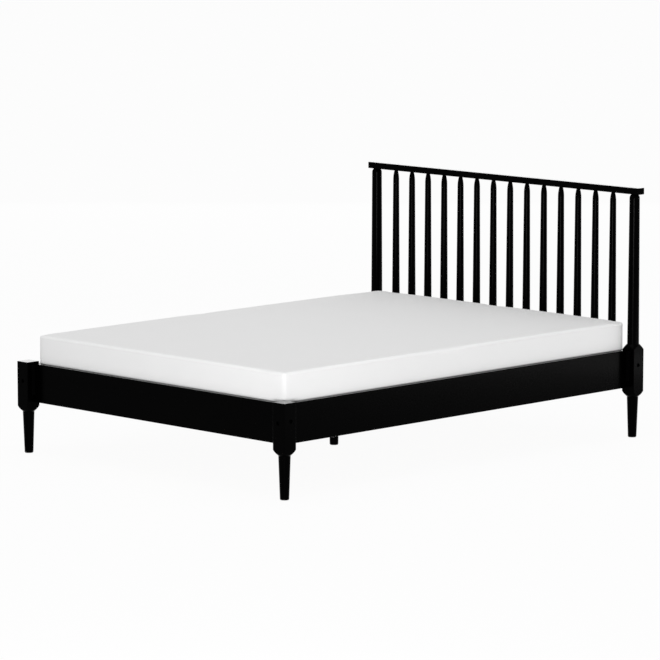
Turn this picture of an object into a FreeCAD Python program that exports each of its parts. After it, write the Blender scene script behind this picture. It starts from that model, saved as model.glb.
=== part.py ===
"""Spindle bed for a full-size mattress, as a parametric document of separate pieces.

Frame: +Z up, origin on the floor at the middle of the bed, +Y towards the headboard, +X to the
right side seen from the foot. All sizes are in millimetres.
"""
import os

import FreeCAD
import Part
import Sketcher

Vector = FreeCAD.Vector

# ----------------------------------------------------------------------------------------------
# Driving dimensions. Each row is an alias of the sheet, its value and what it measures.
# ----------------------------------------------------------------------------------------------
SIZES = (
    ("mattress_width", 1376.0, "mattress between the side rails"),
    ("mattress_length", 1904.0, "mattress, foot to head"),
    ("mattress_thickness", 202.5, "mattress, bottom to its upper edge"),
    ("mattress_side_gap", 2.5, "between the mattress and a side rail"),
    ("mattress_foot_gap", 1.5, "between the mattress and the foot rail"),
    ("mattress_head_gap", 6.5, "between the mattress and the head rail"),
    ("mattress_crown", 7.0, "rise of the mattress's middle above its edge"),
    ("mattress_swell", 7.5, "swell of the mattress's sides above the rails"),
    ("mattress_corner_radius", 20.0, "upright corners of the mattress"),
    ("mattress_edge_radius", 18.0, "long edges of the mattress"),
    ("soft_gap", 0.3, "between the mattress and what it lies on"),
    ("block_width", 62.0, "square block of a post, face to face"),
    ("block_edge_radius", 3.0, "rounding of the block's upright edges"),
    ("block_top_radius", 2.0, "rounding round the flat top of a foot block"),
    ("cut_overrun", 1.0, "how far a cut runs past the face it opens"),
    ("block_drop", 12.0, "square part of a block below the rails"),
    ("foot_block_rise", 10.0, "foot block's flat top above the rails"),
    ("head_block_rise", 0.6, "square part of a head block above the rails"),
    ("shoulder_height", 25.0, "height of a turned shoulder"),
    ("shoulder_arc_radius", 80.0, "radius of the shoulder's convex outline"),
    ("leg_top_diameter", 46.5, "round leg at its top"),
    ("leg_foot_diameter", 35.0, "round leg at the glide"),
    ("leg_edge_radius", 1.2, "rounding of the leg's lower edge"),
    ("post_base_diameter", 48.3, "round post above the upper shoulder"),
    ("post_top_diameter", 41.8, "round post where it starts to draw in"),
    ("post_neck_diameter", 26.0, "neck of the post under the top rail"),
    ("post_bullet_height", 15.0, "height over which the post draws in"),
    ("post_tenon_diameter", 18.0, "tenon of the post in the top rail"),
    ("post_tenon_depth", 16.0, "length of that tenon"),
    ("rail_bottom", 202.5, "height of the rails' lower edge"),
    ("rail_height", 152.4, "height of the foot, side and head rails"),
    ("rail_thickness", 22.0, "foot and side rails"),
    ("rail_edge_radius", 2.5, "rounding of the rails' long edges"),
    ("head_rail_thickness", 38.0, "lower rail of the headboard"),
    ("top_rail_bottom", 985.0, "height of the top rail's underside"),
    ("top_rail_thickness", 26.5, "top rail, bottom to top"),
    ("top_rail_depth", 38.0, "top rail, front to back"),
    ("top_rail_overhang", 34.5, "top rail beyond a post's axis"),
    ("top_rail_radius", 2.5, "rounding of the top rail's edges"),
    ("spindle_count", 14.0, "spindles between the posts"),
    ("spindle_end_gap", 113.75, "between a post's axis and the nearest spindle's"),
    ("spindle_base_diameter", 34.0, "spindle at the head rail"),
    ("spindle_top_diameter", 25.6, "spindle where its bullet top starts"),
    ("spindle_neck_diameter", 14.5, "neck of a spindle under the top rail"),
    ("spindle_bullet_height", 39.0, "height of a spindle's bullet top"),
    ("spindle_foot_tenon", 20.0, "diameter of a spindle's lower tenon"),
    ("spindle_foot_depth", 30.0, "length of the lower tenon"),
    ("spindle_top_tenon", 11.0, "diameter of a spindle's upper tenon"),
    ("spindle_top_depth", 15.0, "length of the upper tenon"),
    ("tenon_play", 0.1, "gap all round a tenon and at its end"),
    ("bolt_rise", 13.6, "midway between a block's two bolts, above the rails' middle"),
    ("bolt_crossing_gap", 1.0, "between the two crossing bolts"),
    ("bolt_inset", 3.0, "bolt axis from the block's centre, towards the bed"),
    ("bolt_diameter", 6.0, "shank of a corner bolt"),
    ("bolt_head_diameter", 12.0, "head of a corner bolt"),
    ("bolt_head_height", 5.0, "height of that head"),
    ("bolt_socket_width", 5.0, "hexagon socket across flats"),
    ("bolt_socket_depth", 3.0, "depth of the hexagon socket"),
    ("counterbore_diameter", 16.0, "recess of a bolt head in the block"),
    ("counterbore_depth", 12.0, "depth of that recess"),
    ("bolt_play", 0.2, "gap all round a bolt in the wood"),
    ("thread_play", 0.05, "gap all round a bolt in its steel thread"),
    ("angle_leg", 40.0, "leg of a corner angle"),
    ("angle_thickness", 3.0, "sheet of a corner angle"),
    ("angle_height", 120.0, "height of a corner angle"),
    ("angle_play", 0.2, "gap round a corner angle in its recess"),
    ("angle_nut_diameter", 10.0, "welded nut on a corner angle"),
    ("angle_nut_height", 6.0, "height of that nut"),
    ("angle_screw_rise", 46.0, "angle screws above and below the angle's middle"),
    ("head_screw_inset", 22.0, "angle screws of the head rail from the block's inner face"),
    ("screw_diameter", 4.0, "shank of a wood screw"),
    ("screw_head_diameter", 8.0, "head of a wood screw"),
    ("screw_head_height", 2.6, "height of a wood screw's head"),
    ("screw_play", 0.1, "gap all round a wood screw"),
    ("angle_screw_length", 38.0, "wood screws of the corner angles"),
    ("cleat_thickness", 25.0, "slat cleat, side to side"),
    ("cleat_height", 38.0, "slat cleat, bottom to top"),
    ("cleat_end_gap", 6.0, "between a cleat's end and the foot or head rail"),
    ("cleat_radius", 1.5, "rounding of a cleat's long edges"),
    ("cleat_screw_count", 5.0, "screws along each cleat"),
    ("cleat_screw_margin", 150.0, "end screw from a cleat's end"),
    ("cleat_screw_length", 40.0, "screws of the cleats"),
    ("slat_count", 13.0, "slats"),
    ("slat_width", 70.0, "slat along the bed"),
    ("slat_thickness", 18.0, "slat"),
    ("slat_end_gap", 2.0, "between a slat's end and the side rail"),
    ("slat_radius", 2.0, "rounding of a slat's long edges"),
    ("slat_drop", 95.0, "slats' upper face below the rails' upper edge"),
    ("slat_screw_length", 38.0, "screws of the end slats"),
    ("strap_width", 30.0, "webbing strap over the slats"),
    ("strap_thickness", 1.2, "webbing strap"),
    ("strap_side_gap", 270.0, "strap's centre line from the side rail"),
    ("beam_width", 64.0, "centre beam, side to side"),
    ("beam_height", 36.0, "centre beam, bottom to top"),
    ("beam_radius", 2.0, "rounding of the beam's long edges"),
    ("saddle_sheet", 2.5, "steel sheet of a beam saddle"),
    ("saddle_depth", 40.0, "saddle along the beam"),
    ("saddle_cheek", 28.0, "height of a saddle's cheeks"),
    ("saddle_ear", 26.0, "width of a saddle's ear"),
    ("saddle_play", 0.3, "gap between a cheek and the beam"),
    ("saddle_screw_length", 18.0, "screws of a saddle"),
    ("centre_leg_top_diameter", 42.0, "centre leg under the beam"),
    ("centre_leg_foot_diameter", 35.0, "centre leg at its glide"),
    ("hanger_bolt_diameter", 8.0, "bolt between the centre leg and the beam"),
    ("hanger_bolt_down", 35.0, "hanger bolt inside the leg"),
    ("hanger_bolt_up", 26.0, "hanger bolt inside the beam"),
    ("insert_diameter", 13.0, "threaded insert in the beam"),
    ("insert_length", 14.0, "length of the insert"),
    ("glide_diameter", 31.0, "plastic glide under a foot"),
    ("glide_height", 2.0, "height of a glide"),
)


class Size:
    """A length with the sheet expression that gives it."""

    def __init__(self, text, value):
        self.text = text
        self.value = value

    def __add__(self, other):
        other = as_size(other)
        return Size(f"({self.text} + {other.text})", self.value + other.value)

    def __sub__(self, other):
        other = as_size(other)
        return Size(f"({self.text} - {other.text})", self.value - other.value)

    def __mul__(self, other):
        other = as_size(other)
        return Size(f"({self.text} * {other.text})", self.value * other.value)

    def __truediv__(self, other):
        other = as_size(other)
        return Size(f"({self.text} / {other.text})", self.value / other.value)

    def __radd__(self, other):
        return as_size(other) + self

    def __rsub__(self, other):
        return as_size(other) - self

    def __rmul__(self, other):
        return as_size(other) * self

    def __neg__(self):
        return -1 * self


def as_size(number):
    """A plain number as a Size; a Size as it is."""
    if isinstance(number, Size):
        return number
    return Size(f"({number:.10g})", float(number))


class Sheet:
    """The document's sheet of driving dimensions, read as attributes that are Sizes."""

    def __init__(self, doc):
        self.cells = doc.addObject("Spreadsheet::Sheet", "Sizes")
        for row, (alias, value, meaning) in enumerate(SIZES, start=1):
            self.cells.set(f"A{row}", alias)
            self.cells.set(f"B{row}", f"{value:g}")
            self.cells.setAlias(f"B{row}", alias)
            self.cells.set(f"C{row}", meaning)
            setattr(self, alias, Size(f"Sizes.{alias}", value))
        doc.recompute()


DOC = FreeCAD.newDocument("spindle_bed")
S = Sheet(DOC)
NODES = []

# ----------------------------------------------------------------------------------------------
# Places that follow from the driving dimensions
# ----------------------------------------------------------------------------------------------
HALF_BLOCK = S.block_width / 2
MATTRESS_SPACE = S.mattress_foot_gap + S.mattress_length + S.mattress_head_gap
POST_X = S.mattress_width / 2 + S.mattress_side_gap + HALF_BLOCK
POST_Y = (HALF_BLOCK + MATTRESS_SPACE + S.head_rail_thickness / 2) / 2
INNER_X = POST_X - HALF_BLOCK
INNER_Y = POST_Y - HALF_BLOCK
RAIL_TOP = S.rail_bottom + S.rail_height
BLOCK_BOTTOM = S.rail_bottom - S.block_drop
LEG_TOP = BLOCK_BOTTOM - S.shoulder_height
FOOT_BLOCK_TOP = RAIL_TOP + S.foot_block_rise
HEAD_BLOCK_TOP = RAIL_TOP + S.head_block_rise
HEAD_RAIL_FRONT = POST_Y - S.head_rail_thickness / 2
BOLT_HEIGHT = S.rail_bottom + S.rail_height / 2 + S.bolt_rise
SPINDLE_PITCH = 2 * (POST_X - S.spindle_end_gap) / (S.spindle_count - 1)
SLAT_TOP = RAIL_TOP - S.slat_drop
SLAT_BOTTOM = SLAT_TOP - S.slat_thickness
BEAM_BOTTOM = SLAT_BOTTOM - S.beam_height
COUNT = {alias: int(value) for alias, value, meaning in SIZES if alias.endswith("_count")}


def bind(thing, name, size):
    """Bind one property of an object to the sheet."""
    thing.setExpression(name, as_size(size).text)


def place(thing, x, y, z):
    """Bind an object's position to the sheet."""
    for axis, size in zip("xyz", (x, y, z)):
        bind(thing, f"Placement.Base.{axis}", size)


def node(thing, label):
    """Name an object as one of the bed's pieces."""
    thing.Label = label
    NODES.append(thing)
    return thing


# ----------------------------------------------------------------------------------------------
# Sketches and features
# ----------------------------------------------------------------------------------------------
def new_body(name):
    """An empty body."""
    return DOC.addObject("PartDesign::Body", name)


def attach(body, name, role, lift=0):
    """A sketch on one of the body's origin planes, lifted along the plane's normal."""
    sketch = body.newObject("Sketcher::SketchObject", name)
    plane = [item for item in body.Origin.OriginFeatures if item.Role == role][0]
    sketch.AttachmentSupport = [(plane, "")]
    sketch.MapMode = "FlatFace"
    bind(sketch, "AttachmentOffset.Base.z", lift)
    return sketch


def arc_between(start, end, radius):
    """A circle's arc from start to end; a positive radius bulges to the right of the way."""
    chord = end - start
    middle = (start + end) * 0.5
    right = Vector(chord.y, -chord.x, 0).normalize()
    rise = (radius * radius - chord.Length ** 2 / 4) ** 0.5
    centre = middle - right * rise if radius > 0 else middle + right * rise
    bulge = centre + (right if radius > 0 else -right) * abs(radius)
    return Part.Arc(start, bulge, end), radius > 0


def outline(sketch, corners, arcs=None):
    """A closed outline through the corners; arcs gives the radius of the edges that are arcs."""
    arcs = arcs or {}
    sizes = [(as_size(u), as_size(v)) for u, v in corners]
    points = [Vector(u.value, v.value, 0) for u, v in sizes]
    ends = []
    for index, start in enumerate(points):
        end = points[(index + 1) % len(points)]
        if index in arcs:
            radius = as_size(arcs[index])
            curve, anticlockwise = arc_between(start, end, radius.value)
            edge = sketch.addGeometry(curve, False)
            limit = sketch.addConstraint(Sketcher.Constraint("Radius", edge, abs(radius.value)))
            bind(sketch, f"Constraints[{limit}]", radius if anticlockwise else -radius)
            ends.append((edge, 1, 2) if anticlockwise else (edge, 2, 1))
        else:
            edge = sketch.addGeometry(Part.LineSegment(start, end), False)
            ends.append((edge, 1, 2))
    for index, (edge, first, last) in enumerate(ends):
        following, its_first, its_last = ends[(index + 1) % len(ends)]
        sketch.addConstraint(Sketcher.Constraint("Coincident", edge, last, following, its_first))
        fix_point(sketch, edge, first, sizes[index])
    return sketch


def fix_point(sketch, edge, end, sizes):
    """Hold one end of an edge at its two sizes from the sketch's origin."""
    for kind, axis, size in (("DistanceX", -2, sizes[0]), ("DistanceY", -1, sizes[1])):
        if "Sizes" not in size.text and size.value == 0:
            sketch.addConstraint(Sketcher.Constraint("PointOnObject", edge, end, axis))
            continue
        limit = sketch.addConstraint(Sketcher.Constraint(kind, -1, 1, edge, end, size.value))
        bind(sketch, f"Constraints[{limit}]", size)


def rectangle(sketch, half_x, half_y, centre_x=0, centre_y=0):
    """A rectangle about a centre."""
    signs = ((-1, -1), (1, -1), (1, 1), (-1, 1))
    return outline(sketch, [(centre_x + u * half_x, centre_y + v * half_y) for u, v in signs])


def circle(sketch, radius, centre_x=0, centre_y=0):
    """A circle about a centre."""
    sizes = (as_size(centre_x), as_size(centre_y))
    radius = as_size(radius)
    shape = Part.Circle(Vector(sizes[0].value, sizes[1].value, 0), Vector(0, 0, 1), radius.value)
    edge = sketch.addGeometry(shape, False)
    limit = sketch.addConstraint(Sketcher.Constraint("Radius", edge, radius.value))
    bind(sketch, f"Constraints[{limit}]", radius)
    fix_point(sketch, edge, 3, sizes)
    return sketch


def pad(body, sketch, length):
    """Raise a sketch along its normal."""
    feature = body.newObject("PartDesign::Pad", sketch.Name + "_pad")
    feature.Profile = sketch
    bind(feature, "Length", length)
    DOC.recompute()
    return feature


def pocket(body, sketch, length):
    """Cut a sketch along its normal, the way a pad would rise."""
    feature = body.newObject("PartDesign::Pocket", sketch.Name + "_pocket")
    feature.Profile = sketch
    feature.Reversed = True
    bind(feature, "Length", length)
    return cut_checked(body, feature)


def turn(body, sketch, kind, axis="V_Axis"):
    """Turn a sketch about one of its axes: kind is Revolution or Groove."""
    feature = body.newObject("PartDesign::" + kind, sketch.Name + "_turned")
    feature.Profile = sketch
    feature.ReferenceAxis = (sketch, [axis])
    feature.Angle = 360
    if kind == "Groove":
        return cut_checked(body, feature)
    DOC.recompute()
    return feature


def cut_checked(body, feature):
    """Recompute a cutting feature and make sure that it took something away."""
    before = feature.BaseFeature.Shape.Volume
    DOC.recompute()
    if feature.Shape.isNull() or not feature.Shape.Volume < before:
        raise RuntimeError(f"{body.Name}: {feature.Name} cuts nothing")
    return feature


def fillet(body, radius, wanted):
    """Round the edges of the body's latest feature for which wanted(edge) holds."""
    base = body.Tip
    names = [f"Edge{number}" for number, edge in enumerate(base.Shape.Edges, start=1) if wanted(edge)]
    if not names:
        raise RuntimeError(f"{body.Name}: no edge to round")
    feature = body.newObject("PartDesign::Fillet", body.Name + "_fillet")
    feature.Base = (base, names)
    bind(feature, "Radius", radius)
    DOC.recompute()
    return feature


def row(body, feature, direction, length, occurrences):
    """Repeat a feature along one of the body's origin axes."""
    pattern = body.newObject("PartDesign::LinearPattern", feature.Name + "_row")
    pattern.Originals = [feature]
    axis = [item for item in body.Origin.OriginFeatures if item.Role == direction][0]
    pattern.Direction = (axis, [""])
    bind(pattern, "Length", length)
    bind(pattern, "Occurrences", occurrences)
    body.Tip = pattern
    DOC.recompute()
    return pattern


def runs_along(edge, direction):
    """Whether an edge is straight along a direction."""
    if not isinstance(edge.Curve, (Part.Line, Part.LineSegment)):
        return False
    way = (edge.lastVertex().Point - edge.firstVertex().Point).normalize()
    return abs(way.dot(direction)) > 0.999


def board(name, size_x, size_y, size_z, radius, grain):
    """A board about its own centre line, from z = 0 up, with its long edges rounded."""
    body = new_body(name)
    sketch = attach(body, name + "_plan", "XY_Plane")
    pad(body, rectangle(sketch, size_x / 2, size_y / 2), size_z)
    fillet(body, radius, lambda edge: runs_along(edge, grain))
    return body


# ----------------------------------------------------------------------------------------------
# Primitives
# ----------------------------------------------------------------------------------------------
def bar(name, centre, bottom, size):
    """A box about a centre in plan, standing on a height."""
    box = DOC.addObject("Part::Box", name)
    for name_of_side, side in zip(("Length", "Width", "Height"), size):
        bind(box, name_of_side, side)
    place(box, centre[0] - size[0] / 2, centre[1] - size[1] / 2, bottom)
    return box


def rod(name, start, direction, radius, length):
    """A cylinder from a start point along a direction."""
    cylinder = DOC.addObject("Part::Cylinder", name)
    bind(cylinder, "Radius", radius)
    bind(cylinder, "Height", length)
    cylinder.Placement = FreeCAD.Placement(Vector(), FreeCAD.Rotation(Vector(0, 0, 1), Vector(*direction)))
    place(cylinder, *start)
    return cylinder


def taper(name, start, direction, first_radius, last_radius, length):
    """A cone from a start point along a direction."""
    cone = DOC.addObject("Part::Cone", name)
    bind(cone, "Radius1", first_radius)
    bind(cone, "Radius2", last_radius)
    bind(cone, "Height", length)
    cone.Placement = FreeCAD.Placement(Vector(), FreeCAD.Rotation(Vector(0, 0, 1), Vector(*direction)))
    place(cone, *start)
    return cone


def join(name, pieces):
    """One solid of several."""
    fuse = DOC.addObject("Part::MultiFuse", name)
    fuse.Shapes = pieces
    return fuse


def group(name, pieces):
    """Several separate solids in one piece."""
    compound = DOC.addObject("Part::Compound", name)
    compound.Links = pieces
    return compound


def cut(name, base, tools):
    """A base with tools taken away."""
    result = DOC.addObject("Part::Cut", name)
    result.Base = base
    result.Tool = tools[0] if len(tools) == 1 else group(name + "_tools", tools)
    return result


def along(start, direction, distance):
    """The point at a distance from a start along a direction."""
    return tuple(at + way * distance for at, way in zip(start, direction))


# ----------------------------------------------------------------------------------------------
# Posts
# ----------------------------------------------------------------------------------------------
def leg_outline(top_radius, foot_radius, top):
    """Half outline of a turned leg, from its rounded foot to its top, with the foot's arc."""
    low = S.glide_height
    corners = [
        (0, low),
        (foot_radius - S.leg_edge_radius, low),
        (foot_radius, low + S.leg_edge_radius),
        (top_radius, top),
        (0, top),
    ]
    return corners, {1: S.leg_edge_radius}


def shoulder_groove(body, name, round_radius, round_height, square_height):
    """Turn the block's corners away to a convex shoulder between a round and a square height."""
    reach = S.block_width
    corner = HALF_BLOCK * 2 ** 0.5
    corners = [
        (round_radius, round_height),
        (corner, square_height),
        (reach, square_height),
        (reach, round_height),
    ]
    upward = square_height.value > round_height.value
    arcs = {0: S.shoulder_arc_radius if upward else -S.shoulder_arc_radius}
    sketch = outline(attach(body, name, "XZ_Plane"), corners, arcs)
    return turn(body, sketch, "Groove")


def angle_recess(body, name, side_x, side_y):
    """The L-shaped recess of a corner angle in the block's two inner faces."""
    low = BOLT_HEIGHT - S.angle_height / 2 - S.angle_play
    inner = HALF_BLOCK + S.block_edge_radius
    deep = HALF_BLOCK - S.angle_thickness - S.angle_play
    short = HALF_BLOCK - S.angle_leg - S.angle_play
    corners = [(inner, inner), (inner, short), (deep, short), (deep, deep), (short, deep), (short, inner)]
    if side_x * side_y < 0:
        corners.reverse()
    sketch = attach(body, name, "XY_Plane", low)
    outline(sketch, [(-side_x * u, -side_y * v) for u, v in corners])
    return pocket(body, sketch, S.angle_height + 2 * S.angle_play)


def bolt_bore(body, name, role, outward, lift, height):
    """The stepped bore of one corner bolt: recess for the head, shank hole and seat of the nut."""
    sketch = attach(body, name, role, lift)
    bind(sketch, "AttachmentOffset.Base.y", height)
    face = HALF_BLOCK + S.cut_overrun
    shank = S.bolt_diameter / 2 + S.bolt_play
    head = S.counterbore_diameter / 2
    seat = S.angle_nut_diameter / 2 + S.bolt_play
    floor = HALF_BLOCK - S.counterbore_depth
    mouth = HALF_BLOCK - S.angle_thickness - S.angle_nut_height - S.bolt_play
    steps = [(face, 0), (face, head), (floor, head), (floor, shank)]
    steps += [(-mouth, shank), (-mouth, seat), (-face, seat), (-face, 0)]
    outline(sketch, [(outward * u, v) for u, v in steps])
    return turn(body, sketch, "Groove", "H_Axis")


def post(label, side_x, side_y, is_head):
    """One post at a corner of the bed; side_x and side_y are the signs of its place."""
    body = new_body(label)
    top = HEAD_BLOCK_TOP + S.shoulder_height if is_head else FOOT_BLOCK_TOP
    corners, arcs = leg_outline(S.leg_top_diameter / 2, S.leg_foot_diameter / 2, LEG_TOP)
    turn(body, outline(attach(body, label + "_leg", "XZ_Plane"), corners, arcs), "Revolution")
    plan = rectangle(attach(body, label + "_block", "XY_Plane", LEG_TOP), HALF_BLOCK, HALF_BLOCK)
    pad(body, plan, top - LEG_TOP)
    upright = Vector(0, 0, 1)
    fillet(body, S.block_edge_radius, lambda edge: runs_along(edge, upright))
    shoulder_groove(body, label + "_lower_shoulder", S.leg_top_diameter / 2, LEG_TOP, BLOCK_BOTTOM)
    if is_head:
        shoulder_groove(body, label + "_upper_shoulder", S.post_base_diameter / 2, top, HEAD_BLOCK_TOP)
        upper_post(body, label, top)
    else:
        level = FOOT_BLOCK_TOP.value
        fillet(body, S.block_top_radius,
               lambda edge: all(abs(end.Point.z - level) < 1e-6 for end in edge.Vertexes))
    angle_recess(body, label + "_recess", side_x, side_y)
    bolt_bore(body, label + "_bore_y", "YZ_Plane", side_y, -side_x * S.bolt_inset, bolt_level("y"))
    bolt_bore(body, label + "_bore_x", "XZ_Plane", side_x, side_y * S.bolt_inset, bolt_level("x"))
    place(body, side_x * POST_X, side_y * POST_Y, 0)
    return node(body, label)


def upper_post(body, label, base):
    """The round post above a head block, drawn in to its neck, with its tenon."""
    bullet = S.top_rail_bottom - S.post_bullet_height
    wide = S.post_top_diameter / 2
    neck = S.post_neck_diameter / 2
    tenon = S.post_tenon_diameter / 2
    corners = [
        (0, base),
        (S.post_base_diameter / 2, base),
        (wide, bullet),
        (neck, S.top_rail_bottom),
        (tenon, S.top_rail_bottom),
        (tenon, S.top_rail_bottom + S.post_tenon_depth),
        (0, S.top_rail_bottom + S.post_tenon_depth),
    ]
    arcs = {2: bullet_radius(wide - neck, S.post_bullet_height)}
    turn(body, outline(attach(body, label + "_upper", "XZ_Plane"), corners, arcs), "Revolution")


def bullet_radius(draw, height):
    """Radius of the arc that starts upright and draws in by draw over a height."""
    return (height * height + draw * draw) / (2 * draw)


# ----------------------------------------------------------------------------------------------
# Headboard
# ----------------------------------------------------------------------------------------------
def spindle(number):
    """One turned spindle with a tenon at each end."""
    label = f"spindle_{number + 1:02d}"
    body = new_body(label)
    bullet = S.top_rail_bottom - S.spindle_bullet_height
    wide = S.spindle_top_diameter / 2
    neck = S.spindle_neck_diameter / 2
    foot = S.spindle_foot_tenon / 2
    tip = S.spindle_top_tenon / 2
    corners = [
        (0, RAIL_TOP - S.spindle_foot_depth),
        (foot, RAIL_TOP - S.spindle_foot_depth),
        (foot, RAIL_TOP),
        (S.spindle_base_diameter / 2, RAIL_TOP),
        (wide, bullet),
        (neck, S.top_rail_bottom),
        (tip, S.top_rail_bottom),
        (tip, S.top_rail_bottom + S.spindle_top_depth),
        (0, S.top_rail_bottom + S.spindle_top_depth),
    ]
    arcs = {4: bullet_radius(wide - neck, S.spindle_bullet_height)}
    turn(body, outline(attach(body, label + "_half", "XZ_Plane"), corners, arcs), "Revolution")
    place(body, (number - (S.spindle_count - 1) / 2) * SPINDLE_PITCH, POST_Y, 0)
    return node(body, label)


def tenon_holes(body, name, height, diameter, depth):
    """A row of blind holes for the spindles, cut upwards from a height."""
    first = S.spindle_end_gap - POST_X
    sketch = attach(body, name, "XY_Plane", height)
    hole = pocket(body, circle(sketch, diameter / 2 + S.tenon_play, first, 0), depth)
    row(body, hole, "X_Axis", -2 * first, S.spindle_count)


def head_rail():
    """The lower rail of the headboard, with the spindles' mortises in its top."""
    x_way = Vector(1, 0, 0)
    body = board("head_rail_board", 2 * INNER_X, S.head_rail_thickness, S.rail_height, S.rail_edge_radius,
                 x_way)
    depth = S.spindle_foot_depth + S.tenon_play
    tenon_holes(body, "head_rail_mortises", S.rail_height - depth, S.spindle_foot_tenon,
                depth + S.cut_overrun)
    place(body, 0, POST_Y, S.rail_bottom)
    tools = [tool for side in (-1, 1) for tool in rail_pilots("head_rail", side, 1, "x")]
    return node(cut("head_rail_cut", body, tools), "head_rail")


def top_rail():
    """The top rail, with blind holes in its underside for the posts and the spindles."""
    body = new_body("top_rail")
    plan = rectangle(attach(body, "top_rail_plan", "XY_Plane"), POST_X + S.top_rail_overhang,
                     S.top_rail_depth / 2)
    pad(body, plan, S.top_rail_thickness)
    fillet(body, S.top_rail_radius, lambda edge: True)
    play = S.tenon_play
    for side, name in ((-1, "left"), (1, "right")):
        sketch = attach(body, "top_rail_post_hole_" + name, "XY_Plane")
        circle(sketch, S.post_tenon_diameter / 2 + play, side * POST_X, 0)
        pocket(body, sketch, S.post_tenon_depth + play)
    tenon_holes(body, "top_rail_holes", 0, S.spindle_top_tenon, S.spindle_top_depth + play)
    place(body, 0, POST_Y, S.top_rail_bottom)
    return node(body, "top_rail")


# ----------------------------------------------------------------------------------------------
# Rails, corner angles and their fasteners
# ----------------------------------------------------------------------------------------------
def screw_places(side_x, side_y, way):
    """Where the two angle screws of one rail end start, and the direction that they run in."""
    thin = S.rail_thickness / 2
    across = S.head_screw_inset if side_y > 0 else thin
    for step in (-1, 1):
        height = BOLT_HEIGHT + step * S.angle_screw_rise
        if way == "x":
            face = side_x * (INNER_X + S.angle_thickness)
            yield (face, side_y * (INNER_Y + across), height), (-side_x, 0, 0)
        else:
            face = side_y * (INNER_Y + S.angle_thickness)
            yield (side_x * (INNER_X + thin), face, height), (0, -side_y, 0)


def rail_pilots(name, side_x, side_y, way):
    """Pilot holes of the angle screws in one rail end."""
    radius = S.screw_diameter / 2 + S.screw_play
    places = screw_places(side_x, side_y, way)
    return [rod(f"{name}_pilot", start, direction, radius, S.angle_screw_length + S.screw_play)
            for start, direction in places]


def foot_rail():
    """The foot rail, flush with the blocks' inner faces."""
    body = board("foot_rail_board", 2 * INNER_X, S.rail_thickness, S.rail_height, S.rail_edge_radius,
                 Vector(1, 0, 0))
    place(body, 0, -INNER_Y - S.rail_thickness / 2, S.rail_bottom)
    tools = [tool for side in (-1, 1) for tool in rail_pilots("foot_rail", side, -1, "x")]
    return node(cut("foot_rail_cut", body, tools), "foot_rail")


def side_rail(label, side):
    """A side rail, flush with the blocks' inner faces, with the pilot holes of its cleat."""
    body = board(label + "_board", S.rail_thickness, 2 * INNER_Y, S.rail_height, S.rail_edge_radius,
                 Vector(0, 1, 0))
    place(body, side * (INNER_X + S.rail_thickness / 2), 0, S.rail_bottom)
    tools = [tool for end in (-1, 1) for tool in rail_pilots(label, side, end, "y")]
    tools += [rod(label + "_cleat_pilot", start, (side, 0, 0), S.screw_diameter / 2 + S.screw_play,
                  S.cleat_screw_length + S.screw_play) for start in cleat_screw_places(side)]
    return node(cut(label + "_cut", body, tools), label)


def bolt_level(way):
    """Height of the bolt that runs along x or y: the two pass each other in the block."""
    half_step = (S.bolt_diameter + S.bolt_crossing_gap) / 2
    return BOLT_HEIGHT + half_step if way == "x" else BOLT_HEIGHT - half_step


def bolt_place(side_x, side_y, way):
    """The outer face's point on a corner bolt's axis, and the direction in which the bolt runs."""
    if way == "x":
        start = (side_x * (POST_X + HALF_BLOCK), side_y * (POST_Y - S.bolt_inset), bolt_level(way))
        return start, (-side_x, 0, 0)
    start = (side_x * (POST_X - S.bolt_inset), side_y * (POST_Y + HALF_BLOCK), bolt_level(way))
    return start, (0, -side_y, 0)


def corner_angle(label, side_x, side_y):
    """A steel angle let into a block, with two welded nuts and four countersunk screw holes."""
    low = BOLT_HEIGHT - S.angle_height / 2
    sheet, leg = S.angle_thickness, S.angle_leg
    corner_x, corner_y = side_x * INNER_X, side_y * INNER_Y
    solids = [
        bar(label + "_leg_y", (corner_x + side_x * leg / 2, corner_y + side_y * sheet / 2), low,
            (leg, sheet, S.angle_height)),
        bar(label + "_leg_x", (corner_x + side_x * sheet / 2, corner_y + side_y * leg / 2), low,
            (sheet, leg, S.angle_height)),
    ]
    bores = []
    for way in ("x", "y"):
        start, direction = bolt_place(side_x, side_y, way)
        nut = S.angle_nut_height
        nut_start = along(start, direction, S.block_width - sheet - nut)
        solids.append(rod(label + "_nut", nut_start, direction, S.angle_nut_diameter / 2, nut))
        bores.append(rod(label + "_thread", nut_start, direction, S.bolt_diameter / 2 + S.thread_play,
                         nut + sheet + S.cut_overrun))
        for place_of_screw, screw_way in screw_places(side_x, side_y, way):
            wide = S.screw_head_diameter / 2 + S.screw_play
            narrow = S.screw_diameter / 2 + S.screw_play
            bores.append(taper(label + "_sink", place_of_screw, screw_way, wide, narrow,
                               S.screw_head_height))
            bores.append(rod(label + "_screw_hole", place_of_screw, screw_way, narrow,
                             sheet + S.cut_overrun))
    return node(cut(label + "_cut", join(label + "_body", solids), bores), label)


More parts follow.
